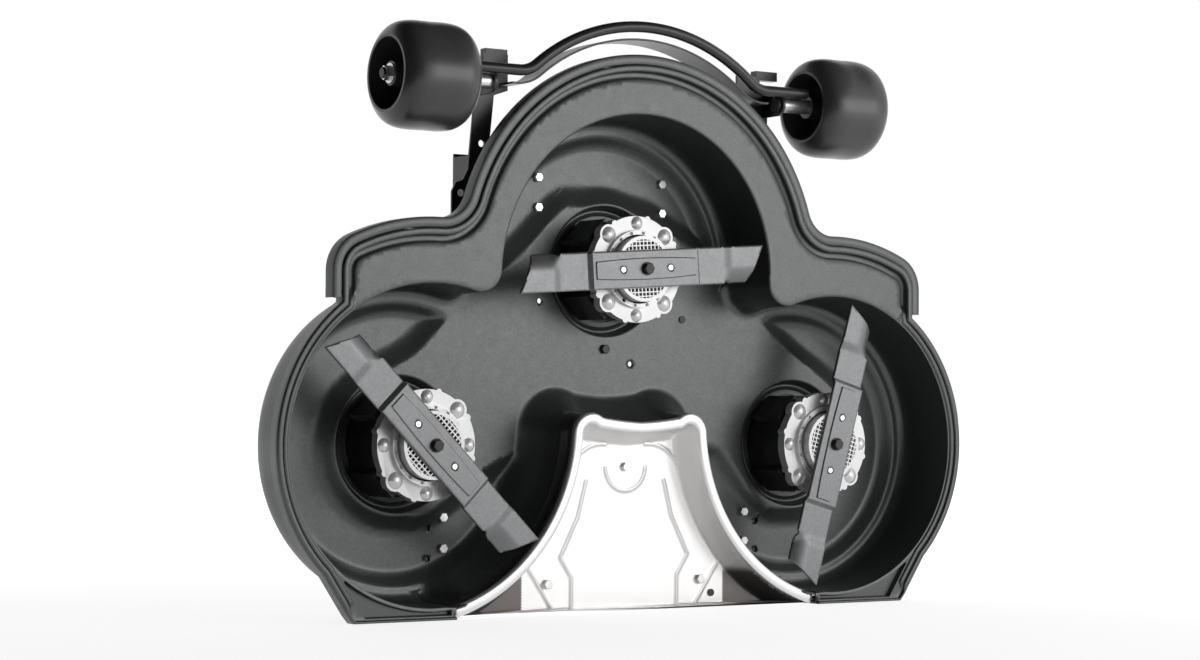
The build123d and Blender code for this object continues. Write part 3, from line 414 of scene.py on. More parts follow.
def grid_faces(rows, columns, wrap_rows=False, wrap_columns=False):
    """Corner numbers of the quads of a grid."""
    used = rows if wrap_rows else rows - 1, columns if wrap_columns else columns - 1
    row, column = np.meshgrid(np.arange(used[0]), np.arange(used[1]), indexing="ij")
    below, across = (row + 1) % rows, (column + 1) % columns
    corners = ((row, column), (below, column), (below, across), (row, across))
    return np.stack([down * columns + along for down, along in corners], -1).reshape(-1, 4)


def inside(points, outline):
    """Which points lie in an outline: an odd number of its edges cross a ray to +X."""
    x, z = points[:, :1], points[:, 1:]
    start_x, start_z = outline[:, 0], outline[:, 1]
    end_x, end_z = np.roll(start_x, -1), np.roll(start_z, -1)
    crosses = (start_z > z) != (end_z > z)
    with np.errstate(divide="ignore", invalid="ignore"):
        meets = start_x + (z - start_z) * (end_x - start_x) / (end_z - start_z)
    return np.sum(crosses & (x < meets), 1) % 2 == 1


def distance(points, outline, closed=True):
    """Distance of points from a line: the least over its runs, each clamped to its ends."""
    start = outline if closed else outline[:-1]
    run = (np.roll(outline, -1, 0) if closed else outline[1:]) - start
    best = np.full(len(points), np.inf)
    for (x, z), (along, up) in zip(start, run):
        over, rise = points[:, 0] - x, points[:, 1] - z
        share = np.clip((over * along + rise * up) / max(along * along + up * up, 1e-9), 0.0, 1.0)
        best = np.minimum(best, (over - share * along) ** 2 + (rise - share * up) ** 2)
    return np.sqrt(best)


def cove(value):
    """Quarter round from 0 to 1, steep at first and level at its end."""
    value = np.clip(value, 0.0, 1.0)
    return np.sqrt(value * (2.0 - value))


def ease(value):
    """Smooth step from 0 to 1: three times the square less twice the cube."""
    value = np.clip(value, 0.0, 1.0)
    return value * value * (3.0 - 2.0 * value)


def rounded_step(value):
    """Step from 0 to 1 with a short brow and a long foot: the smooth step of a power."""
    return ease(np.clip(value, 0.0, 1.0) ** BROW_POWER)


def nearer(first, second, blend):
    """The lesser of two distances, with the corner between them rounded off: the usual
    polynomial smooth minimum over a blending length."""
    share = np.clip(0.5 + 0.5 * (second - first) / blend, 0.0, 1.0)
    return second * (1.0 - share) + first * share - blend * share * (1.0 - share)


def lattice(outline, step):
    """Points of a staggered lattice over an outline's box."""
    low, high = outline.min(0), outline.max(0)
    across, up = np.arange(low[0], high[0], step), np.arange(low[1], high[1], step * ROW_SHARE)
    x, z = np.meshgrid(across, up, indexing="ij")
    x = x + (np.arange(x.shape[1]) % 2) * step / 2.0
    return np.stack([x.ravel(), z.ravel()], 1)


def relief(outline, holes, step, level, islands=()):
    """A plate between an outline and its holes: a lattice of points joined by Delaunay
    triangles, at the level that a function of the place gives. The triangles' edges
    follow the islands, which are open lines."""
    inner = lattice(outline, step)
    inner = inner[inside(inner, outline)]
    rims = [outline, *holes, *islands]
    for edge in rims:
        inner = inner[distance(inner, edge) > step * CLEAR_SHARE]
    for hole in holes:
        inner = inner[~inside(inner, hole)]
    points = np.concatenate([*rims, inner])
    edges, first = [], 0
    for number, rim in enumerate(rims):
        turn = first + np.arange(len(rim))
        ends = np.roll(turn, -1)
        last = len(rim) if number <= len(holes) else -1
        edges.append(np.stack([turn[:last], ends[:last]], 1))
        first += len(rim)
    plan, _, faces, *_ = delaunay_2d_cdt(
        [Vector(p) for p in points.tolist()], np.concatenate(edges).tolist(), [], 0, LINE_TOLERANCE
    )
    plan = np.array([tuple(p) for p in plan])
    faces = np.array(faces)
    middle = plan[faces].mean(1)
    kept = inside(middle, outline)
    for hole in holes:
        kept &= ~inside(middle, hole)
    return np.stack([plan[:, 0], level(plan), plan[:, 1]], 1), faces[kept]


def linear(colour):
    """sRGB hex to linear light: the low end divided by 12.92, the rest by the 2.4 power."""
    share = np.array([int(colour[i : i + 2], 16) for i in (1, 3, 5)]) / 255.0
    value = np.where(share <= 0.04045, share / 12.92, ((share + 0.055) / 1.055) ** 2.4)
    return (*value, 1.0)


def add_node(tree, kind, settings=None, **inputs):
    """Add a node, set its properties, and fill or link each input by name or number."""
    node = tree.nodes.new(kind)
    for key, value in (settings or {}).items():
        setattr(node, key, value)
    for key, value in inputs.items():
        numbered = key[0] == "_"
        socket = node.inputs[int(key[1:]) if numbered else key.replace("_", " ")]
        if isinstance(value, bpy.types.NodeSocket):
            tree.links.new(value, socket)
        else:
            socket.default_value = value
    return node


def new_material(name):
    """An empty node material, and its tree."""
    material = bpy.data.materials.new(name)
    material.use_nodes = True
    material.node_tree.nodes.clear()
    return material, material.node_tree


def finish_material(tree, shader):
    """Link the shader to the material's output."""
    output = tree.nodes.new("ShaderNodeOutputMaterial")
    tree.links.new(shader.outputs[0], output.inputs["Surface"])


def principled(tree, **inputs):
    """Give a material's tree the principled shader with these inputs."""
    finish_material(tree, add_node(tree, "ShaderNodeBsdfPrincipled", **inputs))


def two_tones(tree, factor, low, high):
    """Colour ramp from one hex colour to another, across the middle of the factor's range."""
    ramp = add_node(tree, "ShaderNodeValToRGB", _0=factor)
    for element, place, colour in zip(ramp.color_ramp.elements, TONE_PLACES, (low, high)):
        element.position = place
        element.color = linear(colour)
    return ramp.outputs["Color"]


def mixed(tree, share, first, second):
    """A colour between two, by the share of the second."""
    mix = add_node(tree, "ShaderNodeMix", {"data_type": "RGBA"}, Factor=share, A=first, B=second)
    return mix.outputs["Result"]


def spread(tree, factor, low, high):
    """A factor carried from the range 0 to 1 to another range."""
    return add_node(tree, "ShaderNodeMapRange", Value=factor, _3=low, _4=high).outputs["Result"]


def maths(tree, operation, *values):
    """Result of a maths node on some values."""
    inputs = {f"_{number}": value for number, value in enumerate(values)}
    return add_node(tree, "ShaderNodeMath", {"operation": operation}, **inputs).outputs[0]


def bumps(tree, height, depth_mm, strength, invert=False):
    """Normals of a skin that a height from 0 to 1 raises, or sinks, by a depth."""
    lengths = {"Distance": depth_mm / 1000.0, "Strength": strength}
    return add_node(tree, "ShaderNodeBump", {"invert": invert}, Height=height, **lengths).outputs["Normal"]


def speckle(tree, size_mm, detail=2.0, rough=0.5, stretch=(1.0, 1.0, 1.0)):
    """Noise whose cells are a size in millimetres, on object coordinates."""
    place = add_node(tree, "ShaderNodeTexCoord").outputs["Object"]
    scaled = add_node(tree, "ShaderNodeMapping", Vector=place, Scale=stretch).outputs["Vector"]
    cells = {"Scale": 1000.0 / size_mm, "Detail": detail, "Roughness": rough}
    return add_node(tree, "ShaderNodeTexNoise", Vector=scaled, **cells).outputs["Fac"]


def coated_steel(name, low, high, roughness, grain_mm, grain_depth, specular, metallic):
    """Coated steel or black plastic: an even satin skin with fine orange peel, which the
    eye sees as a soft sheen that breaks up slightly in the highlights."""
    tree = new_material(name)[1]
    principled(
        tree,
        Base_Color=two_tones(tree, speckle(tree, 2.0 * grain_mm, detail=1.0), low, high),
        Roughness=spread(tree, speckle(tree, size_mm=14.0, detail=4.0), roughness - 0.05, roughness + 0.05),
        Normal=bumps(tree, speckle(tree, grain_mm), grain_depth, strength=0.6),
        Metallic=metallic,
        Specular_IOR_Level=specular,
    )


def bare_metal(name, low, high, roughness, grain_mm, grain_depth, metallic):
    """Cast or plated metal: its fine pores roughen it unevenly, which the eye sees as a
    bright skin with slightly duller specks."""
    tree = new_material(name)[1]
    pores = speckle(tree, grain_mm, detail=3.0, rough=0.6)
    principled(
        tree,
        Base_Color=two_tones(tree, speckle(tree, size_mm=25.0, detail=3.0), low, high),
        Roughness=spread(tree, pores, roughness - 0.07, roughness + 0.09),
        Normal=bumps(tree, pores, grain_depth, strength=0.5),
        Metallic=metallic,
    )


def polished_tray(name, low, high, painted_shade):
    """Stainless sheet, rolled bright: nearly white, with a tan painted shade that the point attribute
    of the same name puts on the pressed lines and the feet, and as a painted dark reflection on the rim's
    side."""
    tree = new_material(name)[1]
    sheen = two_tones(tree, speckle(tree, size_mm=40.0, detail=3.0), low, high)
    # Share of painted shade and painted reflection, read from the point attribute
    painted_shade_share = add_node(tree, "ShaderNodeAttribute", {"attribute_name": "painted_shade"}).outputs["Fac"]
    rolled = speckle(tree, size_mm=1.2, detail=3.0, rough=0.6, stretch=(1.0, 1.0, 0.1))
    principled(
        tree,
        Base_Color=mixed(tree, painted_shade_share, sheen, linear(painted_shade)),
        Roughness=spread(tree, rolled, low=0.28, high=0.44),
        Metallic=0.6,
    )


def wheel_plastic(name, low, high, seam_colour):
    """Moulded wheel: satin black plastic with a thin dark seam where the two halves of
    the mould met, which the eye reads as a line round the tread."""
    tree = new_material(name)[1]
    skin = two_tones(tree, speckle(tree, size_mm=60.0, detail=3.0), low, high)
    place = add_node(tree, "ShaderNodeTexCoord").outputs["Object"]
    across = add_node(tree, "ShaderNodeSeparateXYZ", Vector=place).outputs["X"]
    seam = maths(tree, "COMPARE", maths(tree, "ABSOLUTE", across), SEAM_X / 1000.0, SEAM_HALF / 1000.0)
    principled(
        tree,
        Base_Color=mixed(tree, seam, skin, linear(seam_colour)),
        Roughness=WHEEL_ROUGHNESS,
        Normal=bumps(tree, seam, depth_mm=0.4, strength=0.6, invert=True),
    )


def new_object(name, data):
    """An object for a mesh, a lamp or a camera, linked to the scene."""
    made = bpy.data.objects.new(name, data)
    bpy.context.scene.collection.objects.link(made)
    return made


def set_material(target, material):
    """Give an object one material in place of what it has."""
    target.data.materials.clear()
    target.data.materials.append(material)


def make_piece(name, parts, material, replaced=(), body="deck", sharp=SHARP_ANGLE, sheet=0.0):
    """One mesh from surfaces: joined where they meet, turned outwards and shaded smooth
    up to an angle. A sheet faces the open side, with its thickness behind."""
    mesh = bpy.data.meshes.new(name)
    points, faces, first = [], [], 0
    for part_points, part_faces in parts:
        points.append(metres(part_points))
        faces.extend((part_faces + first).tolist())
        first += len(part_points)
    mesh.from_pydata(np.concatenate(points).tolist(), [], faces)
    work = bmesh.new()
    work.from_mesh(mesh)
    bmesh.ops.remove_doubles(work, verts=work.verts, dist=JOIN_MM / 1000.0)
    bmesh.ops.dissolve_degenerate(work, edges=work.edges, dist=1e-7)
    bmesh.ops.recalc_face_normals(work, faces=work.faces)
    work.to_mesh(mesh)
    work.free()
    if sheet:
        normals, areas = np.zeros(len(mesh.polygons) * 3), np.zeros(len(mesh.polygons))
        mesh.polygons.foreach_get("normal", normals)
        mesh.polygons.foreach_get("area", areas)
        if normals[1::3] @ areas > 0.0:
            mesh.flip_normals()
    mesh.shade_smooth()
    mesh.set_sharp_from_angle(angle=np.radians(sharp))
    piece = new_object(name, mesh)
    set_material(piece, bpy.data.materials[material])
    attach(piece, body)
    if replaced:
        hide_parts(*replaced)
    if sheet:
        solid = piece.modifiers.new("sheet", "SOLIDIFY")
        solid.thickness = sheet / 1000.0
        solid.offset = -1.0
    return piece


def surface(grid, wrap_rows=False, wrap_columns=False):
    """A grid of points with its faces, as one part of a piece."""
    return grid.reshape(-1, 3), grid_faces(*grid.shape[:2], wrap_rows, wrap_columns)


def lip_line():
    """Outer edge of the lip from the rear right round the front to the rear left: arcs
    about the three spindles, joined by the necks and the rounded shoulders."""
    hub, side = MIDDLE_HUB, RIGHT_HUB
    neck = circles_meet(hub, FRONT_R + NECK_R, side, SHOULDER_R + NECK_R)
    crown_x = SHOULDER_X - SHOULDER_ROUND
    crown_z = side[1] + np.sqrt((SHOULDER_R - SHOULDER_ROUND) ** 2 - (crown_x - side[0]) ** 2)
    crown = np.array([crown_x, crown_z])
    rim_z = side[1] + np.sqrt(SIDE_RIM_R**2 - (SHOULDER_X - side[0]) ** 2)
    corner = line_meets(CORNER_FOOT, CORNER_FALL, side, SIDE_RIM_R)
    half = joined(
        arc(hub, FRONT_R, 90.0, bearing(hub, neck)),
        arc(neck, NECK_R, bearing(neck, hub) + 360.0, bearing(neck, side) + 360.0),
        arc(side, SHOULDER_R, bearing(side, neck), bearing(side, crown)),
        arc(crown, SHOULDER_ROUND, bearing(side, crown), 0.0),
        line((SHOULDER_X, crown_z), (SHOULDER_X, rim_z)),
        arc(side, SIDE_RIM_R, bearing(side, (SHOULDER_X, rim_z)), bearing(side, corner)),
        line(corner, CORNER_FOOT),
        line(CORNER_FOOT, (FOOT_X, 0.0)),
        line((FOOT_X, 0.0), (INSERT_FOOT[0] + LIP_END_GAP, 0.0)),
    )
    return with_left(half)[::-1]


def insert_line():
    """Outline of the insert's rim from its right foot over the shoulders to the left."""
    centre = np.array(INSERT_SHOULDER)
    turn = np.radians(INSERT_SHOULDER_END)
    dip_end = centre + INSERT_SHOULDER_R * np.array([np.cos(turn), np.sin(turn)])
    dip_middle = (dip_end[0] / 2.0, INSERT_DIP_Z + INSERT_DIP_SAG)
    flank_top = centre + (INSERT_SHOULDER_R, 0.0)
    half = joined(
        arc_through((0.0, INSERT_DIP_Z), dip_middle, dip_end, step=4.0),
        arc(centre, INSERT_SHOULDER_R, INSERT_SHOULDER_END, 0.0, step=3.0),
        arc_through(flank_top, INSERT_FLANK, INSERT_FOOT, step=4.0),
    )
    return with_left(half)[::-1]


def chamber_line():
    """Top edge of the chamber's wall from the right foot round to the left one: the
    spindles' circles with rounded necks, opened out on the left of the middle one."""
    hub, side = MIDDLE_HUB, RIGHT_HUB
    runs = []
    for edge_x in (CHAMBER_R, -VOLUTE_X):
        across = edge_x + CHAMBER_NECK_R - side[0]
        neck_z = side[1] + np.sqrt((CHAMBER_R + CHAMBER_NECK_R) ** 2 - across**2)
        neck = np.array([edge_x + CHAMBER_NECK_R, neck_z])
        turn = bearing(side, neck)
        runs.append(
            joined(
                line((edge_x, max(hub[1] - CHAMBER_HUB_DROP, neck_z + CHAMBER_LEAST_RUN)), (edge_x, neck_z)),
                arc(neck, CHAMBER_NECK_R, 180.0, turn + 180.0, step=3.0),
                arc(side, CHAMBER_R, turn, CHAMBER_SIDE_END),
                np.array([INSERT_FOOT]),
            )
        )
    right, left = runs
    left = left * (-1.0, 1.0)
    swell = arc_through(left[0], VOLUTE_MIDDLE, (0.0, hub[1] + CHAMBER_R))
    return joined(left[::-1], swell, arc(hub, CHAMBER_R, 90.0, CHAMBER_HUB_END), right)[::-1]


def on_rim(plan):
    """1 beside the side spindles' rims, 0 along the front, smooth between."""
    return ease((RIM_START_Z - plan[:, 1]) / RIM_BLEND) * (np.abs(plan[:, 0]) > RIM_START_X)


def blended(first, second, share):
    """Profiles for each point of a line, between two profiles."""
    share = share[:, None, None]
    return np.array(first, float) * (1.0 - share) + np.array(second, float) * share


def roof_level(plan):
    """Level of the roof: from the plate to the deeper pocket round each motor it is a
    rounded step of the lesser distance from the motor's ring and from its tongue, less a
    bell-shaped ridge; to the insert it is half a quarter round and half a smooth step."""
    level = np.full(len(plan), PLATE_Y)
    for name, (hub_x, hub_z, _) in HUBS.items():
        offset = plan - (hub_x, hub_z)
        reach = np.hypot(offset[:, 0], offset[:, 1])
        near = reach < POCKET_OUTER_R + POCKET_RISE
        tongue = np.array(TONGUES[name], float)
        out = distance(offset[near], tongue) * ~inside(offset[near], tongue)
        climb = rounded_step(nearer(reach[near] - RING_R, out, TONGUE_BLEND) / SLOPE)
        climb *= ease((POCKET_OUTER_R + POCKET_RISE - reach[near]) / POCKET_RISE)
        ridge = RIDGE_HEIGHT * np.exp(-(((reach[near] - RIDGE_R) / RIDGE_WIDTH) ** 2))
        level[near] = np.maximum(level[near], PLATE_Y + (POCKET_Y - PLATE_Y - ridge) * climb)
    away = np.clip(distance(plan, insert_line(), closed=False) / INSERT_SLOPE_RUN, 0.0, 1.0)
    fade = 1.0 - ease((np.abs(plan[:, 0]) - FOOT_BLEND_X) / FOOT_BLEND)
    return level - (PLATE_Y - INSERT_SLOPE_Y) * (1.0 - 0.5 * cove(away) - 0.5 * ease(away)) * fade


def roof_creases():
    """Lines that the roof's triangles follow: circles round each spindle, and outlines
    about its tongue from the motor's ring to the pocket's edge."""
    lines = []
    for name, (hub_x, hub_z, _) in HUBS.items():
        hub = np.array([hub_x, hub_z])
        lines += [arc(hub, radius, 0.0, 360.0) for radius in CREASE_R]
        tongue = np.array(TONGUES[name], float)
        ends = np.roll(tongue, -1, 0)
        edge = joined(*[line(a, b) for a, b in zip(tongue, ends)])[:-1]
        turning = np.sum(tongue[:, 0] * ends[:, 1] - tongue[:, 1] * ends[:, 0])
        outwards = -np.sign(turning) * side_vectors(edge, closed=True)
        for out in CREASE_OUT:
            run = edge + outwards * out
            reach = np.hypot(run[:, 0], run[:, 1])
            shown = (reach > RING_R) & (reach < POCKET_OUTER_R + POCKET_RISE / 2.0)
            cuts = np.flatnonzero(np.diff(shown.astype(int))) + 1
            pieces, flags = np.split(run + hub, cuts), np.split(shown, cuts)
            lines += [piece for piece, flag in zip(pieces, flags) if flag[0] and len(piece) > 1]
    return lines


def gusset_line(side, inset):
    """Outline of the panel sunk into a rear corner: the chamber's circle and the two
    lines of the corner, each brought in from the bead."""
    hub, along = RIGHT_HUB, CORNER_FALL
    edge = CORNER_FOOT + np.array([along[1], -along[0]]) * (GUSSET_SIDE + inset)
    low, radius = GUSSET_REAR + inset, CHAMBER_R + GUSSET_WALL + inset
    corner = edge - along * (edge[1] - low) / along[1]
    high = line_meets(edge, along, hub, radius)
    foot_x = GUSSET_FOOT_X + inset
    foot_top = np.array([foot_x, hub[1] - np.sqrt(radius**2 - (hub[0] - foot_x) ** 2)])
    outline = joined(
        line((foot_x, low), corner),
        line(corner, high),
        arc(hub, radius, bearing(hub, high), bearing(hub, foot_top)),
        line(foot_top, (foot_x, low)),
    )
    return outline * (side, 1.0)


def build_shell():
    """Pressed shell: lip, ledge, chamber wall, roof and motor dishes, then its sheet."""
    lip = lip_line()
    rear = ease((LIP_REAR_Z - lip[:, 1]) / LIP_REAR_BLEND)
    profile = blended(LIP_FRONT, LIP_SIDE, on_rim(lip))
    profile += (np.array(LIP_REAR, float) - profile) * rear[:, None, None]
    apron = np.clip((FOOT_X - np.abs(lip[:, 0])) / APRON_TAPER, 0.0, 1.0) * (lip[:, 1] < 0.5)
    profile[:, 0, 1] += (ROOF_Y - SKIRT_Y) * apron
    lip_grid = swept(lip, profile)

    wall = chamber_line()
    wall_grid = swept(wall, blended(WALL_FRONT, WALL_SIDE, on_rim(wall)))
    ledge = np.concatenate([lip_grid[:, -1, ::2], wall_grid[::-1, 0, ::2]])

    panels = [gusset_line(side, inset) for side in (-1, 1) for inset in (0.0, GUSSET_EDGE)]

    def ledge_level(plan):
        level = np.full(len(plan), LEDGE_Y)
        for panel in panels[::2]:
            within = inside(plan, panel) * distance(plan, panel)
            level += GUSSET_DEPTH * ease(within / GUSSET_EDGE)
        return level

    flank = insert_line()
    feet = ease((np.abs(flank[:, 0]) - FOOT_BLEND_X) / FOOT_BLEND)
    flank_profile = blended(WALL_INSERT, WALL_FRONT, feet)
    flank_profile[:, :, 0] *= -1.0
    flank_grid = swept(flank, flank_profile)
    for grid in (wall_grid, flank_grid):
        shift = roof_level(grid[:, -1, ::2]) - grid[:, -1, 1]
        depth = (grid[..., 1] - grid[:, :1, 1]) / (grid[:, -1:, 1] - grid[:, :1, 1])
        grid[..., 1] += shift[:, None] * depth**3
    roof = np.concatenate([wall_grid[:, -1, ::2], flank_grid[::-1, -1, ::2]])

    parts = [surface(lip_grid), surface(wall_grid), surface(flank_grid)]
    parts.append(relief(ledge, (), LEDGE_STEP, ledge_level, panels))
    dishes = []
    for hub_x, hub_z, _ in HUBS.values():
        turn = full_turn(DISH_SIDES)[:, None]
        radius, drop = np.array(DISH_PROFILE, float).T
        x, z = hub_x + radius * np.cos(turn), hub_z + radius * np.sin(turn)
        circle = np.stack([x[:, 0], z[:, 0]], 1)
        level = roof_level(circle)[:, None] * (1.0 - drop) + POCKET_Y * drop
        level[:, -1] = ROOF_Y
        parts.append(surface(np.stack([x, level, z], -1), wrap_rows=True))
        dishes.append(circle)
    holes = [arc(place, HOLE_R, 0.0, 360.0, step=1.5)[:-1] for place in PLATE_HOLES]
    parts.append(relief(roof, dishes + holes, ROOF_STEP, roof_level, roof_creases()))
    make_piece("pressed_shell", parts, "powder_coated_shell", ("deck_shell",), sharp=50.0, sheet=SHEET)


def build_tunnel():
    """Tunnel behind the insert: its wall and its roof, of the shell's sheet."""
    roof_y = PLATE_Y + SHEET / 2.0
    wall = swept(insert_line(), np.array(((TUNNEL_GAP, TUNNEL_START_Y), (TUNNEL_GAP, roof_y))))
    roof = np.concatenate([wall[:, -1, ::2], [[-INSERT_FOOT[0], 0.0], [INSERT_FOOT[0], 0.0]]])
    parts = [surface(wall), relief(roof, (), TUNNEL_STEP, lambda plan: np.full(len(plan), roof_y))]
    make_piece("tunnel_roof", parts, "powder_coated_shell", sharp=50.0, sheet=SHEET / 2.0)


def build_band():
    """Band on the front of the lip: a channel section carried along it, with each end
    closed by a strip between the section's two halves."""
    lip = lip_line()
    grid = swept(lip[lip[:, 1] > BAND_END_Z], np.array(BAND_SECTION, float))
    parts = [surface(grid, wrap_columns=True)]
    half = len(BAND_SECTION) // 2
    for ring in (grid[0], grid[-1]):
        parts.append(surface(np.stack([ring[:half], ring[::-1][:half]])))
    make_piece("lip_band", parts, "powder_coated_shell", ("front_band",), sharp=40.0)


def pressed_lines():
    """Lines pressed into the insert's floor, mirrored on the left side."""
    lobe = arc(LOBE[:2], LOBE[2], 180.0, 360.0, step=3.0)
    runs = [arc_through(*QUARTER_ARC, step=3.0), np.array(SIDE_LINE), np.array(DIAGONAL)]
    return [lobe] + [run * (side, 1.0) for run in runs for side in (1.0, -1.0)]


def on_lines(plan, lines, flat):
    """1 on the pressed lines, falling smoothly to 0 within one width of their flat part."""
    nearest = np.min([distance(plan, run, closed=False) for run in lines], 0)
    return ease(flat - nearest / PRESSED_WIDTH)


def build_insert():
    """Mulching insert: a rolled rim along its outline, and a tray with sloping sides and
    raised pressed lines, open at the rear. A point attribute holds its painted shade and painted reflection."""
    outline = insert_line()
    rim = swept(outline, np.array(RIM_SECTION, float))
    inner = rim[:, -1, ::2]
    start = rim[0, -1, 1]
    tray = np.concatenate([inner, [[inner[-1, 0], TRAY_REAR_Z], [inner[0, 0], TRAY_REAR_Z]]])
    lines = pressed_lines()

    def tray_level(plan):
        share = np.clip(distance(plan, inner, closed=False) / TRAY_RUN, 0.0, 1.0)
        slope = TRAY_STRAIGHT * share + (1.0 - TRAY_STRAIGHT) * ease(share)
        press = PRESSED_HEIGHT * on_lines(plan, lines, PRESSED_FLAT) * (share > TRAY_FLAT)
        return start + (TRAY_Y - start) * slope - press

    parts = [surface(rim), relief(tray, (), TRAY_STEP, tray_level)]
    insert = make_piece(
        "insert_tray", parts, "stainless_tray", ("mulch_insert",), sharp=60.0, sheet=INSERT_SHEET
    )
    points = np.zeros(len(insert.data.vertices) * 3)
    insert.data.vertices.foreach_get("co", points)
    points = points.reshape(-1, 3) * 1000.0 - np.array([0.0, LIP_Y, 0.0])
    plan, edge = points[:, ::2], distance(points[:, ::2], outline, closed=False)
    # Painted shade along the pressed lines, on the tray's flat floor only
    painted_shade = PRESSED_LINE_SHADE * on_lines(plan, lines, LINE_SHADE_FLAT)
    painted_shade *= distance(plan, inner, closed=False) > TRAY_RUN - 1.0
    # Painted dark reflection along the rim's outer side, above a level
    painted_shade = np.maximum(painted_shade, RIM_REFLECTION_SHARE * (edge < RIM_REFLECTION_WIDTH) * (points[:, 1] > RIM_REFLECTION_Y))
    # Painted shade on the sloping sides near the feet, away from the rim
    foot_shade = ease((SHADED_FOOT_Z - plan[:, 1]) / SHADED_FOOT_FADE)
    foot_shade *= (np.abs(plan[:, 0]) > SHADED_FOOT_X) & (edge > SHADED_FOOT_INSET)
    # The painted shade and the rim's painted dark reflection, as a point attribute for the tray's material
    painted_shade_layer = insert.data.attributes.new("painted_shade", "FLOAT", "POINT")
    painted_shade_layer.data.foreach_set("value", np.maximum(painted_shade, foot_shade))


def build_stubs():
    """Two black stubs between the lip's ends and the insert's feet: a circle carried
    along X, whose radius falls to nothing at its ends as a quarter round."""
    turn = full_turn(STUB_SIDES)
    reach = np.linspace(0.0, 1.0, STUB_RINGS) ** 2
    radius = STUB["radius"] * np.concatenate([cove(reach), cove(reach[::-1])])[:, None]
    along = np.concatenate([reach, 1.0 - reach[::-1]]) * STUB["radius"]
    along[STUB_RINGS:] += STUB["outer"] - STUB["inner"] - STUB["radius"]
    parts = []
    for side in (-1.0, 1.0):
        x = side * (STUB["inner"] + along)[:, None] + 0.0 * turn
        y, z = STUB["level"] + radius * np.cos(turn), STUB["z"] + radius * np.sin(turn)
        parts.append(surface(np.stack([x, y, z], -1), wrap_columns=True))
    make_piece("lip_stubs", parts, "black_powder_coat")


def climbed(along, step):
    """Smooth step from 0 where a bend in the blade starts to 1 at its end."""
    return ease((along - step["start"]) / (step["end"] - step["start"]))


def panel_half(share):
    """Half width of the raised panel: it narrows as the square of the share of its reach."""
    return PANEL["half"] - (PANEL["half"] - PANEL["end_half"]) * share**2


def blade_level(plan):
    """Level of a blade's near face: a raised panel, then the joggle away from the ground,
    then the wing, whose cutting edge steps back while its trailing half curls away."""
    along, across = np.abs(plan[:, 0]), plan[:, 1] * np.sign(plan[:, 0])
    trailing = np.clip(-across / BLADE["half"], 0.0, 1.0)
    level = BLADE["face"] + JOGGLE["depth"] * climbed(along, JOGGLE)
    level += climbed(along, WING) * (WING["curl"] * trailing**2 - WING["edge"])
    depth = np.minimum(panel_half(along / PANEL["reach"]) - np.abs(across), PANEL["reach"] - along)
    return level - PANEL["height"] * ease(depth / PANEL["slope"])


def build_blade(hub):
    """One blade, flat plate to wings, in its own line and then turned onto its spindle."""
    tip, half, sweep = BLADE["tip"], BLADE["half"], BLADE["sweep"]
    right = line((tip - sweep, -half), (tip, half), step=3.0)
    top = line((tip, half), (-(tip - sweep), half), step=1.5)
    top[:, 1] -= NOTCH["depth"] * np.exp(-(((top[:, 0] + NOTCH["place"]) / NOTCH["width"]) ** 2))
    outline = joined(right, top)
    outline = joined(outline, -outline)[:-1]
    panel = panel_half(np.linspace(-1.0, 1.0, PANEL["points"]))
    along = np.linspace(-PANEL["reach"], PANEL["reach"], PANEL["points"])
    creases = []
    for inset in (0.0, PANEL["slope"]):
        upper = np.stack([along * (1.0 - inset / PANEL["reach"]), panel - inset], 1)
        creases.append(np.concatenate([upper, -upper, upper[:1]]))
    high = half - BLADE["margin"]
    for place in (JOGGLE["start"], JOGGLE["end"], WING["start"], WING["end"]):
        creases += [line((side, -high), (side, high), step=3.0) for side in (-place, place)]
    pins = [(side * PIN_HOLE["place"], 0.0) for side in (-1, 1)]
    holes = [arc(pin, PIN_HOLE["radius"], 0.0, 360.0, step=1.2)[:-1] for pin in pins]
    points, faces = relief(outline, holes, BLADE["step"], blade_level, creases)
    x, z, turn = HUBS[hub]
    turn = np.radians(turn)
    along, across = points[:, 0].copy(), points[:, 2].copy()
    points[:, 0] = x + along * np.cos(turn) - across * np.sin(turn)
    points[:, 2] = z + along * np.sin(turn) + across * np.cos(turn)
    coat, body, replaced = "grey_coated_blade_steel", f"{hub}_spindle", (f"{hub}_blade",)
    make_piece(f"{hub}_knife", [(points, faces)], coat, replaced, body, sharp=28.0, sheet=BLADE["sheet"])


def make_finishes(finish):
    """The materials, each named for what it is made of and how it was worked."""
    coated_steel("powder_coated_shell", finish.shell_dark, finish.shell_light, *SHELL_COAT)
    coated_steel("grey_coated_blade_steel", finish.blade_dark, finish.blade_light, *BLADE_COAT)
    for name, look in COATS.items():
        coated_steel(name, *look)
    for name, look in METALS.items():
        bare_metal(name, *look)
    wheel_plastic("moulded_wheel_plastic", "#585859", "#5e5e60", seam_colour="#1c1c1d")
    # The tray's last colour is its painted shade and painted dark reflection
    polished_tray("stainless_tray", "#faf8f7", "#fdfcfb", painted_shade="#6d6866")


def dress_frame():
    """Give every CAD node its slot's finish, or its own where that differs."""
    for part in frame["record"]["subparts"]:
        finish = NODE_FINISH.get(part["node"], SLOT_FINISH[part["material_slot"]])
        set_material(frame["nodes"][part["node"]], bpy.data.materials[finish])


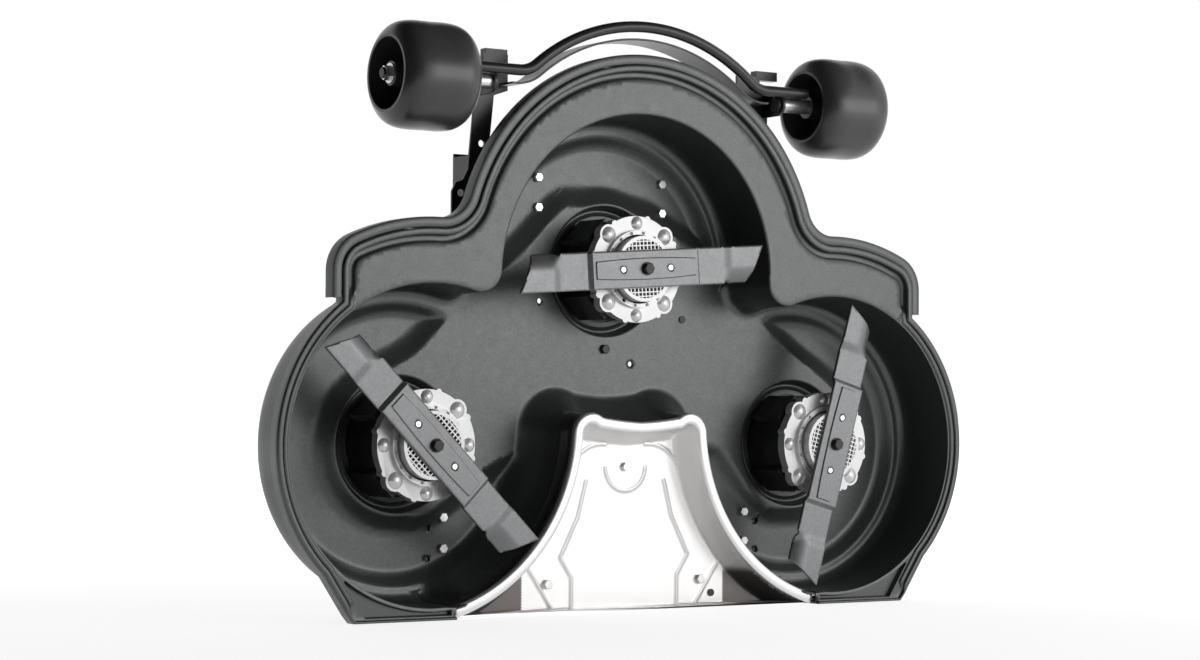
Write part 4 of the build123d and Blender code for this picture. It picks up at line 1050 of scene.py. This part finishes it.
def camera_matrix():
    """The camera's axes: a turn about the upright, a rise above level and a roll."""
    turn, rise, roll = CAMERA_ANGLES
    look = Vector((np.sin(turn) * np.cos(rise), np.cos(turn) * np.cos(rise), -np.sin(rise)))
    right = Vector((np.cos(turn), -np.sin(turn), 0.0))
    up = right.cross(look)
    right, up = right * np.cos(roll) + up * np.sin(roll), up * np.cos(roll) - right * np.sin(roll)
    axes = Matrix((right, up, -look)).transposed().to_4x4()
    axes.translation = CAMERA_PLACE
    return axes


def area_light(name, place, aim, size, power):
    """A soft rectangular lamp that points at a place."""
    data = bpy.data.lights.new(name, "AREA")
    data.shape = "RECTANGLE"
    data.size, data.size_y = size
    data.energy = power
    lamp = new_object(name, data)
    lamp.location = place
    lamp.rotation_euler = (Vector(aim) - Vector(place)).to_track_quat("-Z", "Y").to_euler()


def plain_face(name, corners):
    """A flat four-cornered face."""
    mesh = bpy.data.meshes.new(name)
    mesh.from_pydata(corners, [], [(0, 1, 2, 3)])
    return new_object(name, mesh)


def white_share(tree):
    """1 for rays that show the background: from the camera, off metal or through glass."""
    path = add_node(tree, "ShaderNodeLightPath").outputs
    glossy = maths(tree, "MAXIMUM", path["Is Glossy Ray"], path["Is Transmission Ray"])
    return maths(tree, "MAXIMUM", path["Is Camera Ray"], glossy)


def soften(name, width):
    """A copy of a CAD piece with its flat faces joined and its edges rounded."""
    mesh = frame["nodes"][name].data.copy()
    work = bmesh.new()
    work.from_mesh(mesh)
    bmesh.ops.remove_doubles(work, verts=work.verts, dist=JOIN_MM / 2000.0)
    bmesh.ops.dissolve_limit(work, angle_limit=np.radians(1.0), verts=work.verts, edges=work.edges)
    work.to_mesh(mesh)
    work.free()
    mesh.shade_smooth()
    mesh.set_sharp_from_angle(angle=np.radians(SHARP_ANGLE))
    piece = new_object(f"{name}_rounded", mesh)
    bevel = piece.modifiers.new("rounding", "BEVEL")
    bevel.width = width
    bevel.segments = 2
    bevel.limit_method = "ANGLE"
    bevel.angle_limit = np.radians(BEVEL_ANGLE)
    bevel.miter_outer = "MITER_ARC"
    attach(piece, "deck")
    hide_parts(name)


def build_rounded(sizes):
    """Rounded copies of the cast, moulded and folded pieces."""
    for hub in HUBS:
        for kind in ("end_shield", "motor_housing"):
            soften(f"{hub}_{kind}", sizes.edge)
    for name in ("left_arm", "right_arm", "guard_strap"):
        soften(name, sizes.edge)
    for name in ("front_bolts", "side_bolts", "insert_bolts", "centre_bolt"):
        soften(name, sizes.edge / 2.0)


def build_stage(sizes):
    """Camera, white floor that keeps the shadow, bright surroundings, lamp and flags."""
    scene = bpy.context.scene
    data = bpy.data.cameras.new("deck_camera")
    data.lens = sizes.lens
    data.sensor_width = SENSOR
    data.sensor_fit = "HORIZONTAL"
    camera = new_object("deck_camera", data)
    camera.matrix_world = camera_matrix()
    scene.camera = camera

    sides = ((-1, -1), (1, -1), (1, 1), (-1, 1))
    floor = plain_face("studio_floor", [(x * FLOOR_REACH, y * FLOOR_REACH, 0) for x, y in sides])
    material, tree = new_material("matt_white_floor")
    matt = add_node(tree, "ShaderNodeBsdfDiffuse", Color=linear("#b4b4b4"))
    place = add_node(tree, "ShaderNodeTexCoord").outputs["Object"]
    radius = add_node(tree, "ShaderNodeVectorMath", {"operation": "LENGTH"}, _0=place).outputs["Value"]
    (near, faint), (far, full) = FLOOR_GLOW
    fade = add_node(tree, "ShaderNodeMapRange", Value=radius, _1=near, _2=far, _3=faint, _4=full)
    glow = add_node(tree, "ShaderNodeEmission", Color=linear("#ffffff"), Strength=fade.outputs["Result"])
    both = add_node(tree, "ShaderNodeAddShader", _0=matt.outputs[0], _1=glow.outputs[0])
    shader = add_node(tree, "ShaderNodeMixShader", Fac=white_share(tree), _1=matt.outputs[0])
    tree.links.new(both.outputs[0], shader.inputs[2])
    finish_material(tree, shader)
    set_material(floor, material)

    world = bpy.data.worlds.new("studio")
    scene.world = world
    world.use_nodes = True
    tree = world.node_tree
    tree.nodes.clear()
    strength = spread(tree, white_share(tree), low=WORLD_FILL, high=1.0)
    background = add_node(tree, "ShaderNodeBackground", Color=linear("#ffffff"), Strength=strength)
    output = tree.nodes.new("ShaderNodeOutputWorld")
    tree.links.new(background.outputs[0], output.inputs["Surface"])

    area_light("key_lamp", **KEY_LAMP)

    # Black cloth, which the camera doesn't see, keeps light off the slopes and walls
    cloth, tree = new_material("black_flag_cloth")
    finish_material(tree, add_node(tree, "ShaderNodeBsdfDiffuse", Color=linear("#101010")))
    for name, corners in FLAGS.items():
        card = plain_face(name, corners)
        card.visible_camera = False
        set_material(card, cloth)
    scene.view_settings.view_transform = "Standard"


def colour_setting(name, default):
    """A setting that holds one sRGB colour."""
    return bpy.props.StringProperty(name=name, description="sRGB hex", default=default)


class DeckFinish(bpy.types.PropertyGroup):
    """Colours of the deck's coated steel."""

    shell_dark: colour_setting("Shell, darker patches", "#606262")
    shell_light: colour_setting("Shell, lighter patches", "#676969")
    blade_dark: colour_setting("Blades, darker patches", "#858687")
    blade_light: colour_setting("Blades, lighter patches", "#8d8e8f")


class DeckSizes(bpy.types.PropertyGroup):
    """Length of the camera's lens, and width of the rounded edges."""

    lens: bpy.props.FloatProperty(name="Lens", description="Focal length", default=81.55, unit="CAMERA")
    edge: bpy.props.FloatProperty(name="Edge", description="Rounding's width", default=0.0006, unit="LENGTH")


class FinishOperator(bpy.types.Operator):
    """Make the finishes and give every CAD node its own"""

    bl_idname = "mower_deck.finish"
    bl_label = "Finishes"

    def execute(self, context):
        make_finishes(context.scene.deck_finish)
        dress_frame()
        return {"FINISHED"}


class ShellOperator(bpy.types.Operator):
    """Build the pressed shell, the tunnel behind the insert and the band on the lip"""

    bl_idname = "mower_deck.shell"
    bl_label = "Shell and band"

    def execute(self, context):
        build_shell()
        build_tunnel()
        build_band()
        return {"FINISHED"}


class InsertOperator(bpy.types.Operator):
    """Build the mulching insert and the stubs beside its feet"""

    bl_idname = "mower_deck.insert"
    bl_label = "Mulching insert"

    def execute(self, context):
        build_insert()
        build_stubs()
        return {"FINISHED"}


class BladeOperator(bpy.types.Operator):
    """Build the three blades"""

    bl_idname = "mower_deck.blades"
    bl_label = "Blades"

    def execute(self, context):
        for hub in HUBS:
            build_blade(hub)
        return {"FINISHED"}


class RoundedOperator(bpy.types.Operator):
    """Round the edges of the cast, moulded and folded pieces"""

    bl_idname = "mower_deck.rounded"
    bl_label = "Rounded pieces"

    def execute(self, context):
        build_rounded(context.scene.deck_sizes)
        return {"FINISHED"}


class StageOperator(bpy.types.Operator):
    """Build the camera, floor, lamp and flags"""

    bl_idname = "mower_deck.stage"
    bl_label = "Stage"

    def execute(self, context):
        build_stage(context.scene.deck_sizes)
        return {"FINISHED"}


class DeckPanel(bpy.types.Panel):
    """Lists the deck's sizes, finishes and pieces"""

    bl_idname = "VIEW3D_PT_mower_deck"
    bl_label = "Mower deck"
    bl_space_type = "VIEW_3D"
    bl_region_type = "UI"
    bl_category = "Mower deck"

    def draw(self, context):
        layout = self.layout
        for settings in (context.scene.deck_sizes, context.scene.deck_finish):
            for name in settings.__annotations__:
                layout.prop(settings, name)
        for piece in PIECES:
            layout.operator(piece.bl_idname)


PIECES = (FinishOperator, ShellOperator, InsertOperator, BladeOperator, RoundedOperator, StageOperator)
CLASSES = (DeckFinish, DeckSizes, *PIECES, DeckPanel)


def register():
    """Register the classes and hang the settings on the scene."""
    for item in CLASSES:
        bpy.utils.register_class(item)
    bpy.types.Scene.deck_finish = bpy.props.PointerProperty(type=DeckFinish)
    bpy.types.Scene.deck_sizes = bpy.props.PointerProperty(type=DeckSizes)


def unregister():
    """Take the settings off the scene and drop the classes."""
    del bpy.types.Scene.deck_sizes
    del bpy.types.Scene.deck_finish
    for item in reversed(CLASSES):
        bpy.utils.unregister_class(item)


def main():
    """Build every piece in order."""
    register()
    for piece in PIECES:
        group, name = piece.bl_idname.split(".")
        if getattr(getattr(bpy.ops, group), name)() != {"FINISHED"}:
            raise RuntimeError(f"{piece.bl_label} did not finish")


if __name__ == "__main__":
    main()
